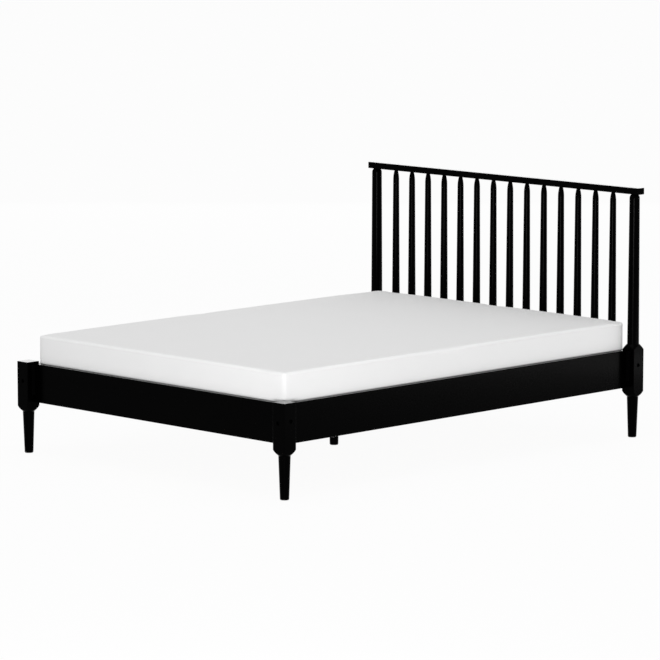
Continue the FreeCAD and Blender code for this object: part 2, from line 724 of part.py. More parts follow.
def corner_bolts():
    """The eight corner bolts, each with a hexagon socket in its head."""
    bolts = []
    for side_x, side_y, way in ((x, y, way) for x in (-1, 1) for y in (-1, 1) for way in ("x", "y")):
        face, direction = bolt_place(side_x, side_y, way)
        under_head = along(face, direction, S.counterbore_depth)
        top_of_head = along(face, direction, S.counterbore_depth - S.bolt_head_height)
        head = rod("bolt_head", top_of_head, direction, S.bolt_head_diameter / 2, S.bolt_head_height)
        shank = rod("bolt_shank", under_head, direction, S.bolt_diameter / 2,
                    S.block_width - S.counterbore_depth)
        socket = DOC.addObject("Part::Prism", "bolt_socket")
        socket.Polygon = 6
        bind(socket, "Circumradius", S.bolt_socket_width / 3 ** 0.5)
        bind(socket, "Height", S.bolt_socket_depth)
        socket.Placement = head.Placement
        place(socket, *top_of_head)
        bolts.append(cut("corner_bolt", join("corner_bolt_blank", [head, shank]), [socket]))
    return node(group("corner_bolts", bolts), "corner_bolts")


def wood_screw(name, start, direction, length):
    """A countersunk wood screw from the face of what it holds."""
    head = taper(name + "_head", start, direction, S.screw_head_diameter / 2, S.screw_diameter / 2,
                 S.screw_head_height)
    shank = rod(name + "_shank", along(start, direction, S.screw_head_height), direction,
                S.screw_diameter / 2, length - S.screw_head_height)
    return join(name, [head, shank])


def screw_sink(name, start, direction, length):
    """The hole of a wood screw, with its countersink."""
    wide = S.screw_head_diameter / 2 + S.screw_play
    narrow = S.screw_diameter / 2 + S.screw_play
    return [
        taper(name + "_sink", start, direction, wide, narrow, S.screw_head_height),
        rod(name + "_hole", start, direction, narrow, length + S.screw_play),
    ]


def angle_screws():
    """Two wood screws from each leg of each corner angle into the rail's end."""
    corners = [(x, y, way) for x in (-1, 1) for y in (-1, 1) for way in ("x", "y")]
    screws = [wood_screw("angle_screw", start, direction, S.angle_screw_length)
              for corner in corners for start, direction in screw_places(*corner)]
    return node(group("angle_screws", screws), "angle_screws")


# ----------------------------------------------------------------------------------------------
# Cleats, slats and centre beam
# ----------------------------------------------------------------------------------------------
def cleat_span():
    """The two ends of a cleat along the bed."""
    return S.cleat_end_gap - INNER_Y, HEAD_RAIL_FRONT - S.cleat_end_gap


def cleat_screw_places(side):
    """Where the screws of one cleat start, on the cleat's inner face."""
    low, high = cleat_span()
    face = side * (INNER_X - S.cleat_thickness)
    first = low + S.cleat_screw_margin
    step = (high - low - 2 * S.cleat_screw_margin) / (S.cleat_screw_count - 1)
    height = SLAT_BOTTOM - S.cleat_height / 2
    return [(face, first + number * step, height) for number in range(COUNT["cleat_screw_count"])]


def slat_place(number):
    """A slat's centre along the bed: the slats share the length between foot and head rail."""
    pitch = (HEAD_RAIL_FRONT + INNER_Y) / S.slat_count
    return (number + 0.5) * pitch - INNER_Y


def end_slats():
    """The numbers of the two slats that are screwed down."""
    return 0, COUNT["slat_count"] - 1


def slat_screw_places(side, numbers):
    """Where the screws of the given slats start at one side of the bed."""
    x = side * (INNER_X - S.cleat_thickness / 2)
    return [(x, slat_place(number), SLAT_TOP) for number in numbers]


def cleat(label, side):
    """A cleat under the slats' ends, screwed to the side rail."""
    low, high = cleat_span()
    body = board(label + "_board", S.cleat_thickness, high - low, S.cleat_height, S.cleat_radius,
                 Vector(0, 1, 0))
    place(body, side * (INNER_X - S.cleat_thickness / 2), (high + low) / 2, SLAT_BOTTOM - S.cleat_height)
    tools = []
    for start in cleat_screw_places(side):
        tools += screw_sink(label, start, (side, 0, 0), S.cleat_screw_length)
    for start in slat_screw_places(side, end_slats()):
        radius = S.screw_diameter / 2 + S.screw_play
        tools.append(rod(label + "_pilot", start, (0, 0, -1), radius, S.slat_screw_length + S.screw_play))
    return node(cut(label + "_cut", body, tools), label)


def cleat_screws():
    """The screws that hold both cleats."""
    screws = [wood_screw("cleat_screw", start, (side, 0, 0), S.cleat_screw_length)
              for side in (-1, 1) for start in cleat_screw_places(side)]
    return node(group("cleat_screws", screws), "cleat_screws")


def slat(number):
    """One slat; the first and the last have screw holes at their ends."""
    label = f"slat_{number + 1:02d}"
    held = number in end_slats()
    body = board(label + "_board" if held else label, 2 * (INNER_X - S.slat_end_gap), S.slat_width,
                 S.slat_thickness, S.slat_radius, Vector(1, 0, 0))
    place(body, 0, slat_place(number), SLAT_BOTTOM)
    if not held:
        return node(body, label)
    tools = []
    for side in (-1, 1):
        for start in slat_screw_places(side, (number,)):
            tools += screw_sink(label, start, (0, 0, -1), S.slat_screw_length)
    return node(cut(label + "_cut", body, tools), label)


def slat_screws():
    """The four screws of the end slats."""
    screws = [wood_screw("slat_screw", start, (0, 0, -1), S.slat_screw_length)
              for side in (-1, 1) for start in slat_screw_places(side, end_slats())]
    return node(group("slat_screws", screws), "slat_screws")


def slat_strap(label, side):
    """A webbing strap that holds the slats in line, from the first slat to the last."""
    first, last = slat_place(0), slat_place(COUNT["slat_count"] - 1)
    strap = bar(label, (side * (INNER_X - S.strap_side_gap), (first + last) / 2), SLAT_TOP,
                (S.strap_width, last - first + S.slat_width / 2, S.strap_thickness))
    return node(strap, label)


def centre_beam():
    """The beam under the middle of the slats, bored for the insert and bolt of its leg."""
    sheet = S.saddle_sheet
    low, high = sheet - INNER_Y, HEAD_RAIL_FRONT - sheet
    body = board("centre_beam_board", S.beam_width, high - low, S.beam_height, S.beam_radius,
                 Vector(0, 1, 0))
    place(body, 0, (high + low) / 2, BEAM_BOTTOM)
    tools = [
        rod("beam_insert_hole", (0, 0, BEAM_BOTTOM), (0, 0, 1), S.insert_diameter / 2 + S.screw_play,
            S.insert_length),
        rod("beam_bolt_hole", (0, 0, BEAM_BOTTOM), (0, 0, 1), S.hanger_bolt_diameter / 2 + S.bolt_play,
            S.hanger_bolt_up + S.bolt_play),
    ]
    return node(cut("centre_beam_cut", body, tools), "centre_beam")


def saddle_screw_places(face, way):
    """Where a saddle's two screws start on its ears."""
    x = S.beam_width / 2 + S.saddle_play + S.saddle_sheet + S.saddle_ear / 2
    start = face + way * S.saddle_sheet
    return [(side * x, start, BEAM_BOTTOM + S.beam_height / 2) for side in (-1, 1)]


def saddle_ends():
    """The rail face that each saddle is screwed to, and the way from it along the beam."""
    return ("foot", -1 * INNER_Y, 1), ("head", HEAD_RAIL_FRONT, -1)


def beam_saddle(label, face, way):
    """A steel saddle that carries one end of the beam."""
    sheet = S.saddle_sheet
    inner = S.beam_width / 2 + S.saddle_play
    width = 2 * (inner + sheet)
    low = BEAM_BOTTOM - sheet
    middle = face + way * S.saddle_depth / 2
    solids = [
        bar(label + "_back", (as_size(0), face + way * sheet / 2), low,
            (width + 2 * S.saddle_ear, sheet, sheet + S.saddle_cheek)),
        bar(label + "_shelf", (as_size(0), middle), low, (width, S.saddle_depth, sheet)),
    ]
    for side in (-1, 1):
        solids.append(bar(label + "_cheek", (side * (inner + sheet / 2), middle), low,
                          (sheet, S.saddle_depth, sheet + S.saddle_cheek)))
    tools = []
    for start in saddle_screw_places(face, way):
        tools += screw_sink(label, start, (0, -way, 0), sheet + S.cut_overrun)
    return node(cut(label + "_cut", join(label + "_sheet", solids), tools), label)


def saddle_screws():
    """The screws of both saddles."""
    screws = [wood_screw("saddle_screw", start, (0, -way, 0), S.saddle_screw_length)
              for name, face, way in saddle_ends() for start in saddle_screw_places(face, way)]
    return node(group("saddle_screws", screws), "saddle_screws")


def drill_for_saddle(rail, face, way):
    """Pilot holes of one saddle's screws in the rail that carries it."""
    label = rail.Label
    NODES.remove(rail)
    rail.Label = label + "_undrilled"
    radius = S.screw_diameter / 2 + S.screw_play
    tools = [rod(label + "_saddle_pilot", start, (0, -way, 0), radius, S.saddle_screw_length + S.screw_play)
             for start in saddle_screw_places(face, way)]
    return node(cut(label + "_drilled", rail, tools), label)


# ----------------------------------------------------------------------------------------------
# Centre leg, glides and mattress
# ----------------------------------------------------------------------------------------------
def centre_leg():
    """The turned leg under the beam, bored for its hanger bolt."""
    body = new_body("centre_leg_turning")
    corners, arcs = leg_outline(S.centre_leg_top_diameter / 2, S.centre_leg_foot_diameter / 2, BEAM_BOTTOM)
    turn(body, outline(attach(body, "centre_leg_half", "XZ_Plane"), corners, arcs), "Revolution")
    bore = rod("centre_leg_bore", (0, 0, BEAM_BOTTOM), (0, 0, -1),
               S.hanger_bolt_diameter / 2 + S.screw_play, S.hanger_bolt_down + S.screw_play)
    return node(cut("centre_leg_cut", body, [bore]), "centre_leg")


def hanger_bolt():
    """The bolt that joins the centre leg and the beam."""
    bolt = rod("hanger_bolt", (0, 0, BEAM_BOTTOM - S.hanger_bolt_down), (0, 0, 1),
               S.hanger_bolt_diameter / 2, S.hanger_bolt_down + S.hanger_bolt_up)
    return node(bolt, "hanger_bolt")


def leg_insert():
    """The threaded insert of the hanger bolt."""
    outer = rod("insert_outer", (0, 0, BEAM_BOTTOM), (0, 0, 1), S.insert_diameter / 2, S.insert_length)
    bore = rod("insert_bore", (0, 0, BEAM_BOTTOM), (0, 0, 1), S.hanger_bolt_diameter / 2 + S.thread_play,
               S.insert_length)
    return node(cut("leg_insert_cut", outer, [bore]), "leg_insert")


def glides():
    """A plastic glide under each of the five feet."""
    places = [(x * POST_X, y * POST_Y) for x in (-1, 1) for y in (-1, 1)] + [(0, 0)]
    discs = [rod("glide", (x, y, 0), (0, 0, 1), S.glide_diameter / 2, S.glide_height) for x, y in places]
    return node(group("glides", discs), "glides")


def mattress_section(body, number, height, grow):
    """One level section of the mattress: its plan grown outwards by grow."""
    half_x = S.mattress_width / 2 + grow
    half_y = S.mattress_length / 2 + grow
    radius = S.mattress_corner_radius
    corners, arcs = [], {}
    for index, (u, v) in enumerate(((1, -1), (1, 1), (-1, 1), (-1, -1))):
        before = (u * (half_x - radius), v * half_y)
        after = (u * half_x, v * (half_y - radius))
        corners += [before, after] if index % 2 == 0 else [after, before]
        arcs[2 * index] = radius
    sketch = attach(body, f"mattress_section_{number}", "XY_Plane", height)
    return outline(sketch, corners, arcs)


def mattress():
    """The mattress: square edges rounded, sides swelling above the rails, top gently crowned."""
    body = new_body("mattress")
    bottom = SLAT_TOP + S.strap_thickness + S.soft_gap
    top = bottom + S.mattress_thickness
    edge = S.mattress_edge_radius
    swell = S.mattress_swell
    levels = [
        (bottom, -0.6 * edge),
        (bottom + 0.2 * edge, -0.2 * edge),
        (bottom + 0.7 * edge, 0),
        (RAIL_TOP, 0),
        (RAIL_TOP + 0.3 * edge, 0.8 * swell),
        (RAIL_TOP + 2 * edge, swell),
        (top - edge, 0.8 * swell),
        (top - 0.5 * edge, 0.8 * swell - 0.134 * edge),
        (top - 0.134 * edge, 0.8 * swell - 0.5 * edge),
        (top, 0.8 * swell - edge),
        (top + 0.6 * S.mattress_crown, -8 * edge),
        (top + S.mattress_crown, -20 * edge),
    ]
    sections = [mattress_section(body, number, height, grow)
                for number, (height, grow) in enumerate(levels)]
    loft = body.newObject("PartDesign::AdditiveLoft", "mattress_loft")
    loft.Profile = sections[0]
    loft.Sections = sections[1:]
    loft.Ruled = True
    place(body, 0, S.mattress_foot_gap + S.mattress_length / 2 - INNER_Y, 0)
    DOC.recompute()
    return node(body, "mattress")


# ----------------------------------------------------------------------------------------------
# The bed
# ----------------------------------------------------------------------------------------------
def build():
    """Make every piece of the bed."""
    for end, side_y in (("foot", -1), ("head", 1)):
        for hand, side_x in (("left", -1), ("right", 1)):
            post(f"{end}_post_{hand}", side_x, side_y, end == "head")
            corner_angle(f"corner_angle_{end}_{hand}", side_x, side_y)
    foot, head = foot_rail(), head_rail()
    for rail, (name, face, way) in zip((foot, head), saddle_ends()):
        drill_for_saddle(rail, face, way)
        beam_saddle("beam_saddle_" + name, face, way)
    for hand, side in (("left", -1), ("right", 1)):
        side_rail("side_rail_" + hand, side)
        cleat("cleat_" + hand, side)
        slat_strap("slat_strap_" + hand, side)
    top_rail()
    for number in range(COUNT["spindle_count"]):
        spindle(number)
    for number in range(COUNT["slat_count"]):
        slat(number)
    centre_beam()
    centre_leg()
    hanger_bolt()
    leg_insert()
    for make in (corner_bolts, angle_screws, cleat_screws, slat_screws, saddle_screws, glides, mattress):
        make()
    DOC.recompute()


def check():
    """Stop if any object failed or any piece is not a sound shape."""
    for item in DOC.Objects:
        if "Invalid" in item.State or "Error" in item.State:
            raise RuntimeError(f"{item.Label} is {item.State}")
    for piece in NODES:
        if piece.Shape.isNull() or not piece.Shape.isValid() or not piece.Shape.Solids:
            raise RuntimeError(f"{piece.Label} has no sound shape")


def write():
    """Write each piece to its own file."""
    os.makedirs("parts", exist_ok=True)
    for piece in NODES:
        piece.Shape.exportStep(f"parts/{piece.Label}.step")
        solids = len(piece.Shape.Solids)
        print(f"{piece.Label}: {solids} solid(s), {piece.Shape.Volume / 1000:.1f} cm3")


build()
check()
write()
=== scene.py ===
import logging
import math
from dataclasses import dataclass, field
from enum import Enum
from itertools import product
from typing import Any, Mapping, Optional, Sequence, Union

import bmesh
import bpy
import numpy as np
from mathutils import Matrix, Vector


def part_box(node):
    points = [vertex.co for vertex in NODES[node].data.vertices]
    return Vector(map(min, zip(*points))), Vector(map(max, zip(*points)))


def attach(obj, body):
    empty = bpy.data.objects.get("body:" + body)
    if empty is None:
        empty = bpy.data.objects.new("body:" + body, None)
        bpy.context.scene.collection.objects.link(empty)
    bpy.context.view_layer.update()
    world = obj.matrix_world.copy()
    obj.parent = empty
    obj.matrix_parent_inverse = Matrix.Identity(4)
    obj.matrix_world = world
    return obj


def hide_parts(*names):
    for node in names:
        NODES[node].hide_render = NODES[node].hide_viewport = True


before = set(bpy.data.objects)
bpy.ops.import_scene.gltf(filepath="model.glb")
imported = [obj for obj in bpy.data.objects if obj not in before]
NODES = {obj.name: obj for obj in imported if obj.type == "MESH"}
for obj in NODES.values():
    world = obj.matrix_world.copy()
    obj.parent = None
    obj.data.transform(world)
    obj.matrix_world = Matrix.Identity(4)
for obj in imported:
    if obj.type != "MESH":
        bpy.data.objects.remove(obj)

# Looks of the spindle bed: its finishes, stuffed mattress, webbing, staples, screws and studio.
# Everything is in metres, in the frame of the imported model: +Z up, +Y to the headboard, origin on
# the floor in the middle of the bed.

LOG = logging.getLogger("spindle_bed")
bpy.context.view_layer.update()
Colour = tuple[float, float, float]
Place = tuple[float, float, float]
Scales = Union[float, Sequence[float]]
Box = tuple[Vector, Vector]
Ring = list[bmesh.types.BMVert]
UPRIGHT_AXIS = 2
WHITE = (1.0, 1.0, 1.0, 1.0)


# ---- Node trees ----
class Wire:
    """One output socket of a node tree, on which Python arithmetic adds Math nodes."""

    def __init__(self, graph: "Graph", socket: bpy.types.NodeSocket) -> None:
        """Wrap a socket of a tree."""
        self.graph = graph
        self.socket = socket

    def maths(self, operation: str, *values: "Input", clamp: bool = False) -> "Wire":
        """Add one Math node.

        Args:
            operation: the node's operation.
            values: its inputs, in order.
            clamp: whether the result is kept from 0 to 1.

        Returns:
            The node's result.
        """
        settings = {"operation": operation, "use_clamp": clamp}
        return self.graph.wire("ShaderNodeMath", settings, dict(enumerate(values)))

    def __add__(self, other: "Input") -> "Wire":
        """Add."""
        return self.maths("ADD", self, other)

    __radd__ = __add__

    def __sub__(self, other: "Input") -> "Wire":
        """Subtract."""
        return self.maths("SUBTRACT", self, other)

    def __rsub__(self, other: "Input") -> "Wire":
        """Subtract, reflected."""
        return self.maths("SUBTRACT", other, self)

    def __mul__(self, other: "Input") -> "Wire":
        """Multiply."""
        return self.maths("MULTIPLY", self, other)

    __rmul__ = __mul__

    def __truediv__(self, other: "Input") -> "Wire":
        """Divide."""
        return self.maths("DIVIDE", self, other)

    def __abs__(self) -> "Wire":
        """Absolute value."""
        return self.maths("ABSOLUTE", self)

    def sine(self) -> "Wire":
        """Sine of an angle in radians."""
        return self.maths("SINE", self)

    def above(self, limit: float) -> "Wire":
        """1 where the value is greater than a limit, and 0 elsewhere."""
        return self.maths("GREATER_THAN", self, limit)

    def or_above(self, other: "Input") -> "Wire":
        """The larger of two values."""
        return self.maths("MAXIMUM", self, other)

    def kept(self) -> "Wire":
        """The value, kept from 0 to 1."""
        return self.maths("ADD", self, 0.0, clamp=True)


Input = Union[Wire, float, Sequence[float], Any]
Key = Union[str, int]
Settings = Optional[Mapping[str, Any]]
Inputs = Optional[Mapping[Key, Input]]


class Graph:
    """A node tree that is filled from one method."""

    def __init__(self, tree: bpy.types.NodeTree) -> None:
        """Start with a tree, emptied."""
        self.tree = tree
        tree.nodes.clear()

    def add(self, kind: str, settings: Settings = None, inputs: Inputs = None) -> bpy.types.Node:
        """Add a node.

        Args:
            kind: the node's type.
            settings: its properties, set first.
            inputs: values or links of its sockets, by name or number.

        Returns:
            The node.
        """
        node = self.tree.nodes.new(kind)
        for name, value in (settings or {}).items():
            setattr(node, name, value)
        for key, value in (inputs or {}).items():
            if isinstance(value, Wire):
                self.tree.links.new(value.socket, node.inputs[key])
            else:
                node.inputs[key].default_value = value
        return node

    def wire(
        self, kind: str, settings: Settings = None, inputs: Inputs = None, output: Key = 0
    ) -> Wire:
        """Add a node and wrap one of its outputs.

        Args:
            kind: the node's type.
            settings: its properties.
            inputs: values or links of its sockets.
            output: the output to wrap, by name or number.

        Returns:
            The wrapped output.
        """
        return Wire(self, self.add(kind, settings, inputs).outputs[output])

    def coords(self, scales: Scales = 1) -> Wire:
        """Object coordinates, multiplied by a factor.

        Args:
            scales: the factor, or one for each axis.

        Returns:
            The multiplied coordinates.
        """
        place = self.wire("ShaderNodeTexCoord", output="Object")
        inputs = {"Vector": place, "Scale": list(1 / (np.ones(3) * scales))}
        return self.wire("ShaderNodeMapping", {"vector_type": "TEXTURE"}, inputs)

    def axes(self, vector: Wire) -> tuple[Wire, Wire, Wire]:
        """The three parts of a vector."""
        node = self.add("ShaderNodeSeparateXYZ", {}, {0: vector})
        return tuple(Wire(self, node.outputs[axis]) for axis in range(3))

    def vector(self, **parts: Input) -> Wire:
        """A vector from its X, Y and Z, each 0 where it isn't given."""
        return self.wire("ShaderNodeCombineXYZ", {}, parts)

    def noise(
        self, scales: Scales, detail: float = 2.0, rough: float = 0.5, bend: float = 0.0
    ) -> Wire:
        """Soft noise from 0 to 1 on Object coordinates.

        Args:
            scales: features per metre, one number or one for each axis.
            detail: finer layers on top of the first.
            rough: how much the finer layers count.
            bend: how far the pattern is distorted.

        Returns:
            The noise.
        """
        inputs = {"Vector": self.coords(scales), "Scale": 1.0}
        inputs |= {"Detail": detail, "Roughness": rough, "Distortion": bend}
        return self.wire("ShaderNodeTexNoise", {}, inputs)

    def blend(self, amount: Wire, first: Colour, second: Colour) -> Wire:
        """Mix two colours: all of the first at 0, and of the second at 1."""
        # The Mix node names its sockets alike for each type of value, so these go by number.
        inputs = {0: amount, 6: (*first, 1), 7: (*second, 1)}
        return self.wire("ShaderNodeMix", {"data_type": "RGBA"}, inputs, 2)

    def bump(
        self, height: Wire, depth: float, strength: float = 1.0, over: Optional[Wire] = None
    ) -> Wire:
        """A bumped normal.

        Args:
            height: the relief, from 0 to 1.
            depth: how deep the relief is, in metres.
            strength: how much of it is used.
            over: a normal that it is laid over.

        Returns:
            The normal.
        """
        inputs = {"Strength": strength, "Distance": depth, "Height": height}
        if over is not None:
            inputs["Normal"] = over
        return self.wire("ShaderNodeBump", {}, inputs)


class Recipe:
    """A Geometry Nodes tree with named inputs, run on an object and kept as a plain mesh."""

    def __init__(self, name: str, **inputs: str) -> None:
        """Start a tree that takes a geometry, a material and a seed.

        Args:
            name: the tree's name.
            inputs: the kind of each further input, by the input's name.
        """
        self.tree = bpy.data.node_groups.new(name, "GeometryNodeTree")
        self.graph = Graph(self.tree)
        kinds = {"Geometry": "Geometry", **inputs, "Seed": "Int", "Material": "Material"}
        sockets = [(label, "INPUT", kind) for label, kind in kinds.items()]
        for label, way, kind in (*sockets, ("Geometry", "OUTPUT", "Geometry")):
            self.tree.interface.new_socket(label, in_out=way, socket_type="NodeSocket" + kind)
        self.entry = self.graph.add("NodeGroupInput")

    def given(self, label: str) -> Wire:
        """One of the tree's inputs."""
        return Wire(self.graph, self.entry.outputs[label])

    def shape(self, label: str) -> Wire:
        """The geometry of an object that is one of the tree's inputs."""
        inputs = {"Object": self.given(label)}
        return self.graph.wire("GeometryNodeObjectInfo", {}, inputs, "Geometry")

    def chance(self, low: float, high: float) -> Wire:
        """A number that differs from point to point, by the tree's seed."""
        # This node too names its sockets alike for each type of value.
        inputs = {2: low, 3: high, "Seed": self.given("Seed")}
        return self.graph.wire("FunctionNodeRandomValue", {"data_type": "FLOAT"}, inputs, 1)

    def finish(self, points: Wire, instance: Wire, **inputs: Input) -> None:
        """End the tree: set a shape on each point, make it real and give it the material.

        Args:
            points: the points.
            instance: the shape.
            inputs: its rotation and scale.
        """
        inputs = {"Points": points, "Instance": instance, **inputs}
        placed = self.graph.wire("GeometryNodeInstanceOnPoints", {}, inputs)
        real = self.graph.wire("GeometryNodeRealizeInstances", {}, {"Geometry": placed})
        inputs = {"Geometry": real, "Material": self.given("Material")}
        painted = self.graph.wire("GeometryNodeSetMaterial", {}, inputs)
        self.graph.add("NodeGroupOutput", {}, {"Geometry": painted})

    def run(
        self, name: str, source: bpy.types.Mesh, values: Mapping[str, Any]
    ) -> bpy.types.Object:
        """Run the tree on a mesh.

        Args:
            name: the new piece's name.
            source: the mesh that the tree starts from.
            values: the tree's inputs, by name.

        Returns:
            The result as a plain mesh object.
        """
        carrier = link(name + "_carrier", source)
        modifier = carrier.modifiers.new("recipe", "NODES")
        modifier.node_group = self.tree
        for item in self.tree.interface.items_tree:
            if item.in_out == "INPUT" and item.name in values:
                modifier[item.identifier] = values[item.name]
        mesh = evaluated(carrier)
        carrier.modifiers.remove(modifier)
        bpy.data.objects.remove(carrier)
        return link(name, mesh)


# ---- Meshes and places ----
def link(name: str, thing: bpy.types.ID) -> bpy.types.Object:
    """Put a mesh, lamp or camera in the scene.

    Args:
        name: the object's name.
        thing: its data.

    Returns:
        The object, at the origin.
    """
    piece = bpy.data.objects.new(name, thing)
    bpy.context.scene.collection.objects.link(piece)
    return piece


def evaluated(piece: bpy.types.Object) -> bpy.types.Mesh:
    """A plain mesh of an object with its modifiers applied."""
    depsgraph = bpy.context.evaluated_depsgraph_get()
    return bpy.data.meshes.new_from_object(piece.evaluated_get(depsgraph))


def mesh_from(name: str, work: bmesh.types.BMesh, smooth: bool = True) -> bpy.types.Mesh:
    """Turn a bmesh into a mesh whose faces point outwards, and free it.

    Args:
        name: the mesh's name.
        work: the bmesh.
        smooth: whether the faces are shaded smooth.

    Returns:
        The mesh.
    """
    bmesh.ops.recalc_face_normals(work, faces=work.faces)
    mesh = bpy.data.meshes.new(name)
    work.to_mesh(mesh)
    work.free()
    for polygon in mesh.polygons:
        polygon.use_smooth = smooth
    return mesh


def skin(work: bmesh.types.BMesh, rings: Sequence[Ring], capped: bool = False) -> None:
    """Add the faces between closed rings of as many points.

    Args:
        work: the bmesh that holds the rings.
        rings: the rings, in order.
        capped: whether the first and the last ring get a face of their own.
    """
    for first, second in zip(rings, rings[1:]):
        for index in range(len(first)):
            after = (index + 1) % len(first)
            work.faces.new((first[index], first[after], second[after], second[index]))
    if capped:
        work.faces.new(rings[0])
        work.faces.new(list(reversed(rings[-1])))


def solids_of(node: str, same_point: float = 1e-6, digits: int = 4) -> list[Box]:
    """The box of each separate solid in a CAD node.

    Args:
        node: the node's name.
        same_point: how near two points are one.
        digits: how many decimals of the corners count when they are sorted.

    Returns:
        The lowest and highest corner of each solid, sorted by the lowest.
    """
    work = bmesh.new()
    work.from_mesh(NODES[node].data)
    bmesh.ops.remove_doubles(work, verts=work.verts, dist=same_point)
    left = set(work.verts)
    boxes = []
    while left:
        island = [left.pop()]
        for vertex in island:
            linked = {edge.other_vert(vertex) for edge in vertex.link_edges} & left
            left -= linked
            island.extend(linked)
        places = np.array([vertex.co for vertex in island])
        boxes.append((Vector(places.min(0)), Vector(places.max(0))))
    work.free()
    return sorted(boxes, key=lambda box: tuple(round(value, digits) for value in box[0]))


def share_of(value: float, span: float) -> float:
    """How much of a span a value has covered, kept from 0 to 1."""
    return max(0.0, min(1.0, value / span))


def eased(move: float, room: float) -> float:
    """A move that slows down towards the end of its room, and stays within it."""
    return room * math.tanh(move / room) if room else 0.0


def named(*words: str) -> list[str]:
    """The CAD nodes whose names hold one of the words."""
    return [node for node in sorted(NODES) if any(word in node for word in words)]


def hand_over(piece: bpy.types.Object, body: str, replaced: Sequence[str] = ()) -> None:
    """Tell the frame what a piece is, and log it.

    Args:
        piece: the piece.
        body: the body that it rides on.
        replaced: the CAD nodes that it stands for.
    """
    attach(piece, body)
    if replaced:
        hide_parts(*replaced)
    LOG.info("%s: %d faces, rides on %s", piece.name, len(piece.data.polygons), body)


# ---- Finishes: tone is what a pattern adds to the colour's mix, rough to the roughness ----
class Grain(Enum):
    """The axis that the wood's fibres run along."""

    ACROSS = 0
    ALONG = 1
    UPRIGHT = 2

    def stretch(self, across: float, along: float) -> list[float]:
        """Pattern scales that draw a pattern out along the fibres.

        Args:
            across: features per metre across the fibres.
            along: features per metre along them.

        Returns:
            One scale for each axis.
        """
        return [along if axis == self.value else across for axis in range(3)]


@dataclass(frozen=True)
class Finish:
    """A finish: a name, and what it sets on the sockets of a Principled shader."""

    name: str
    roughness: float = 0.5
    reflectance: float = 0.5

    def sockets(self, graph: Graph) -> dict[str, Input]:
        """The sockets that are the finish's own, by name."""
        raise NotImplementedError

    def material(self) -> bpy.types.Material:
        """Make the finish into a material.

        Returns:
            The material.
        """
        material = bpy.data.materials.new(self.name)
        material.use_nodes = True
        graph = Graph(material.node_tree)
        common = {"Roughness": self.roughness, "Specular IOR Level": self.reflectance}
        shader = graph.wire("ShaderNodeBsdfPrincipled", {}, common | self.sockets(graph))
        graph.add("ShaderNodeOutputMaterial", {}, {"Surface": shader})
        return material

    def dress(self, nodes: Sequence[str]) -> None:
        """Give the finish to CAD nodes.

        Args:
            nodes: the nodes' names.
        """
        material = self.material()
        for node in nodes:
            for slot in NODES[node].material_slots:
                slot.material = material
        LOG.info("%s on %s", self.name, ", ".join(nodes))


@dataclass(frozen=True)
class BlackLacquer(Finish):
    """Satin black lacquer on hardwood: deep black face on, and bright at a glancing angle."""

    grain: Grain = Grain.UPRIGHT
    deep: Colour = (0.0001, 0.0001, 0.00012)
    worn: Colour = (0.0004, 0.0004, 0.0004)
    roughness: float = 0.22
    reflectance: float = 0.006
    film_face_on: float = 0.014
    film_roughness: float = 0.16
    film_from: float = 0.62
    film_span: float = 0.2
    pore_scales: tuple[float, float] = (1500, 45)
    pore_depth: float = 0.00008
    figure_scales: tuple[float, float] = (140, 5)
    peel_scale: float = 160
    peel_depth: float = 0.0001
    handling_scale: float = 6
    figure_tone: float = 0.6
    handled_tone: float = 0.6
    base_tone: float = -0.1
    handled_rough: float = 0.07
    pore_rough: float = 0.05

    def sockets(self, graph: Graph) -> dict[str, Input]:
        """The shader's sockets, by name.

        Args:
            graph: the material's tree.

        Returns:
            The value or link of each socket.
        """
        pores = graph.noise(self.grain.stretch(*self.pore_scales), detail=3, rough=0.6)
        figure = graph.noise(self.grain.stretch(*self.figure_scales), detail=3, bend=0.6)
        orange_peel = graph.noise(self.peel_scale, detail=1)
        handled = graph.noise(self.handling_scale, detail=4, rough=0.6)
        tone = self.figure_tone * figure + self.handled_tone * handled + self.base_tone
        grazing = graph.wire("ShaderNodeLayerWeight", {}, {"Blend": 0.5}, "Facing")
        film = ((grazing - self.film_from) / self.film_span).kept()
        relief = graph.bump(orange_peel, depth=self.peel_depth, strength=0.2)
        return {
            "Base Color": graph.blend(tone.kept(), self.deep, self.worn),
            "Roughness": self.roughness + self.handled_rough * handled + self.pore_rough * pores,
            "Coat Weight": self.film_face_on + (1 - self.film_face_on) * film,
            "Coat Roughness": self.film_roughness,
            "Normal": graph.bump(pores, depth=self.pore_depth, strength=0.3, over=relief),
        }


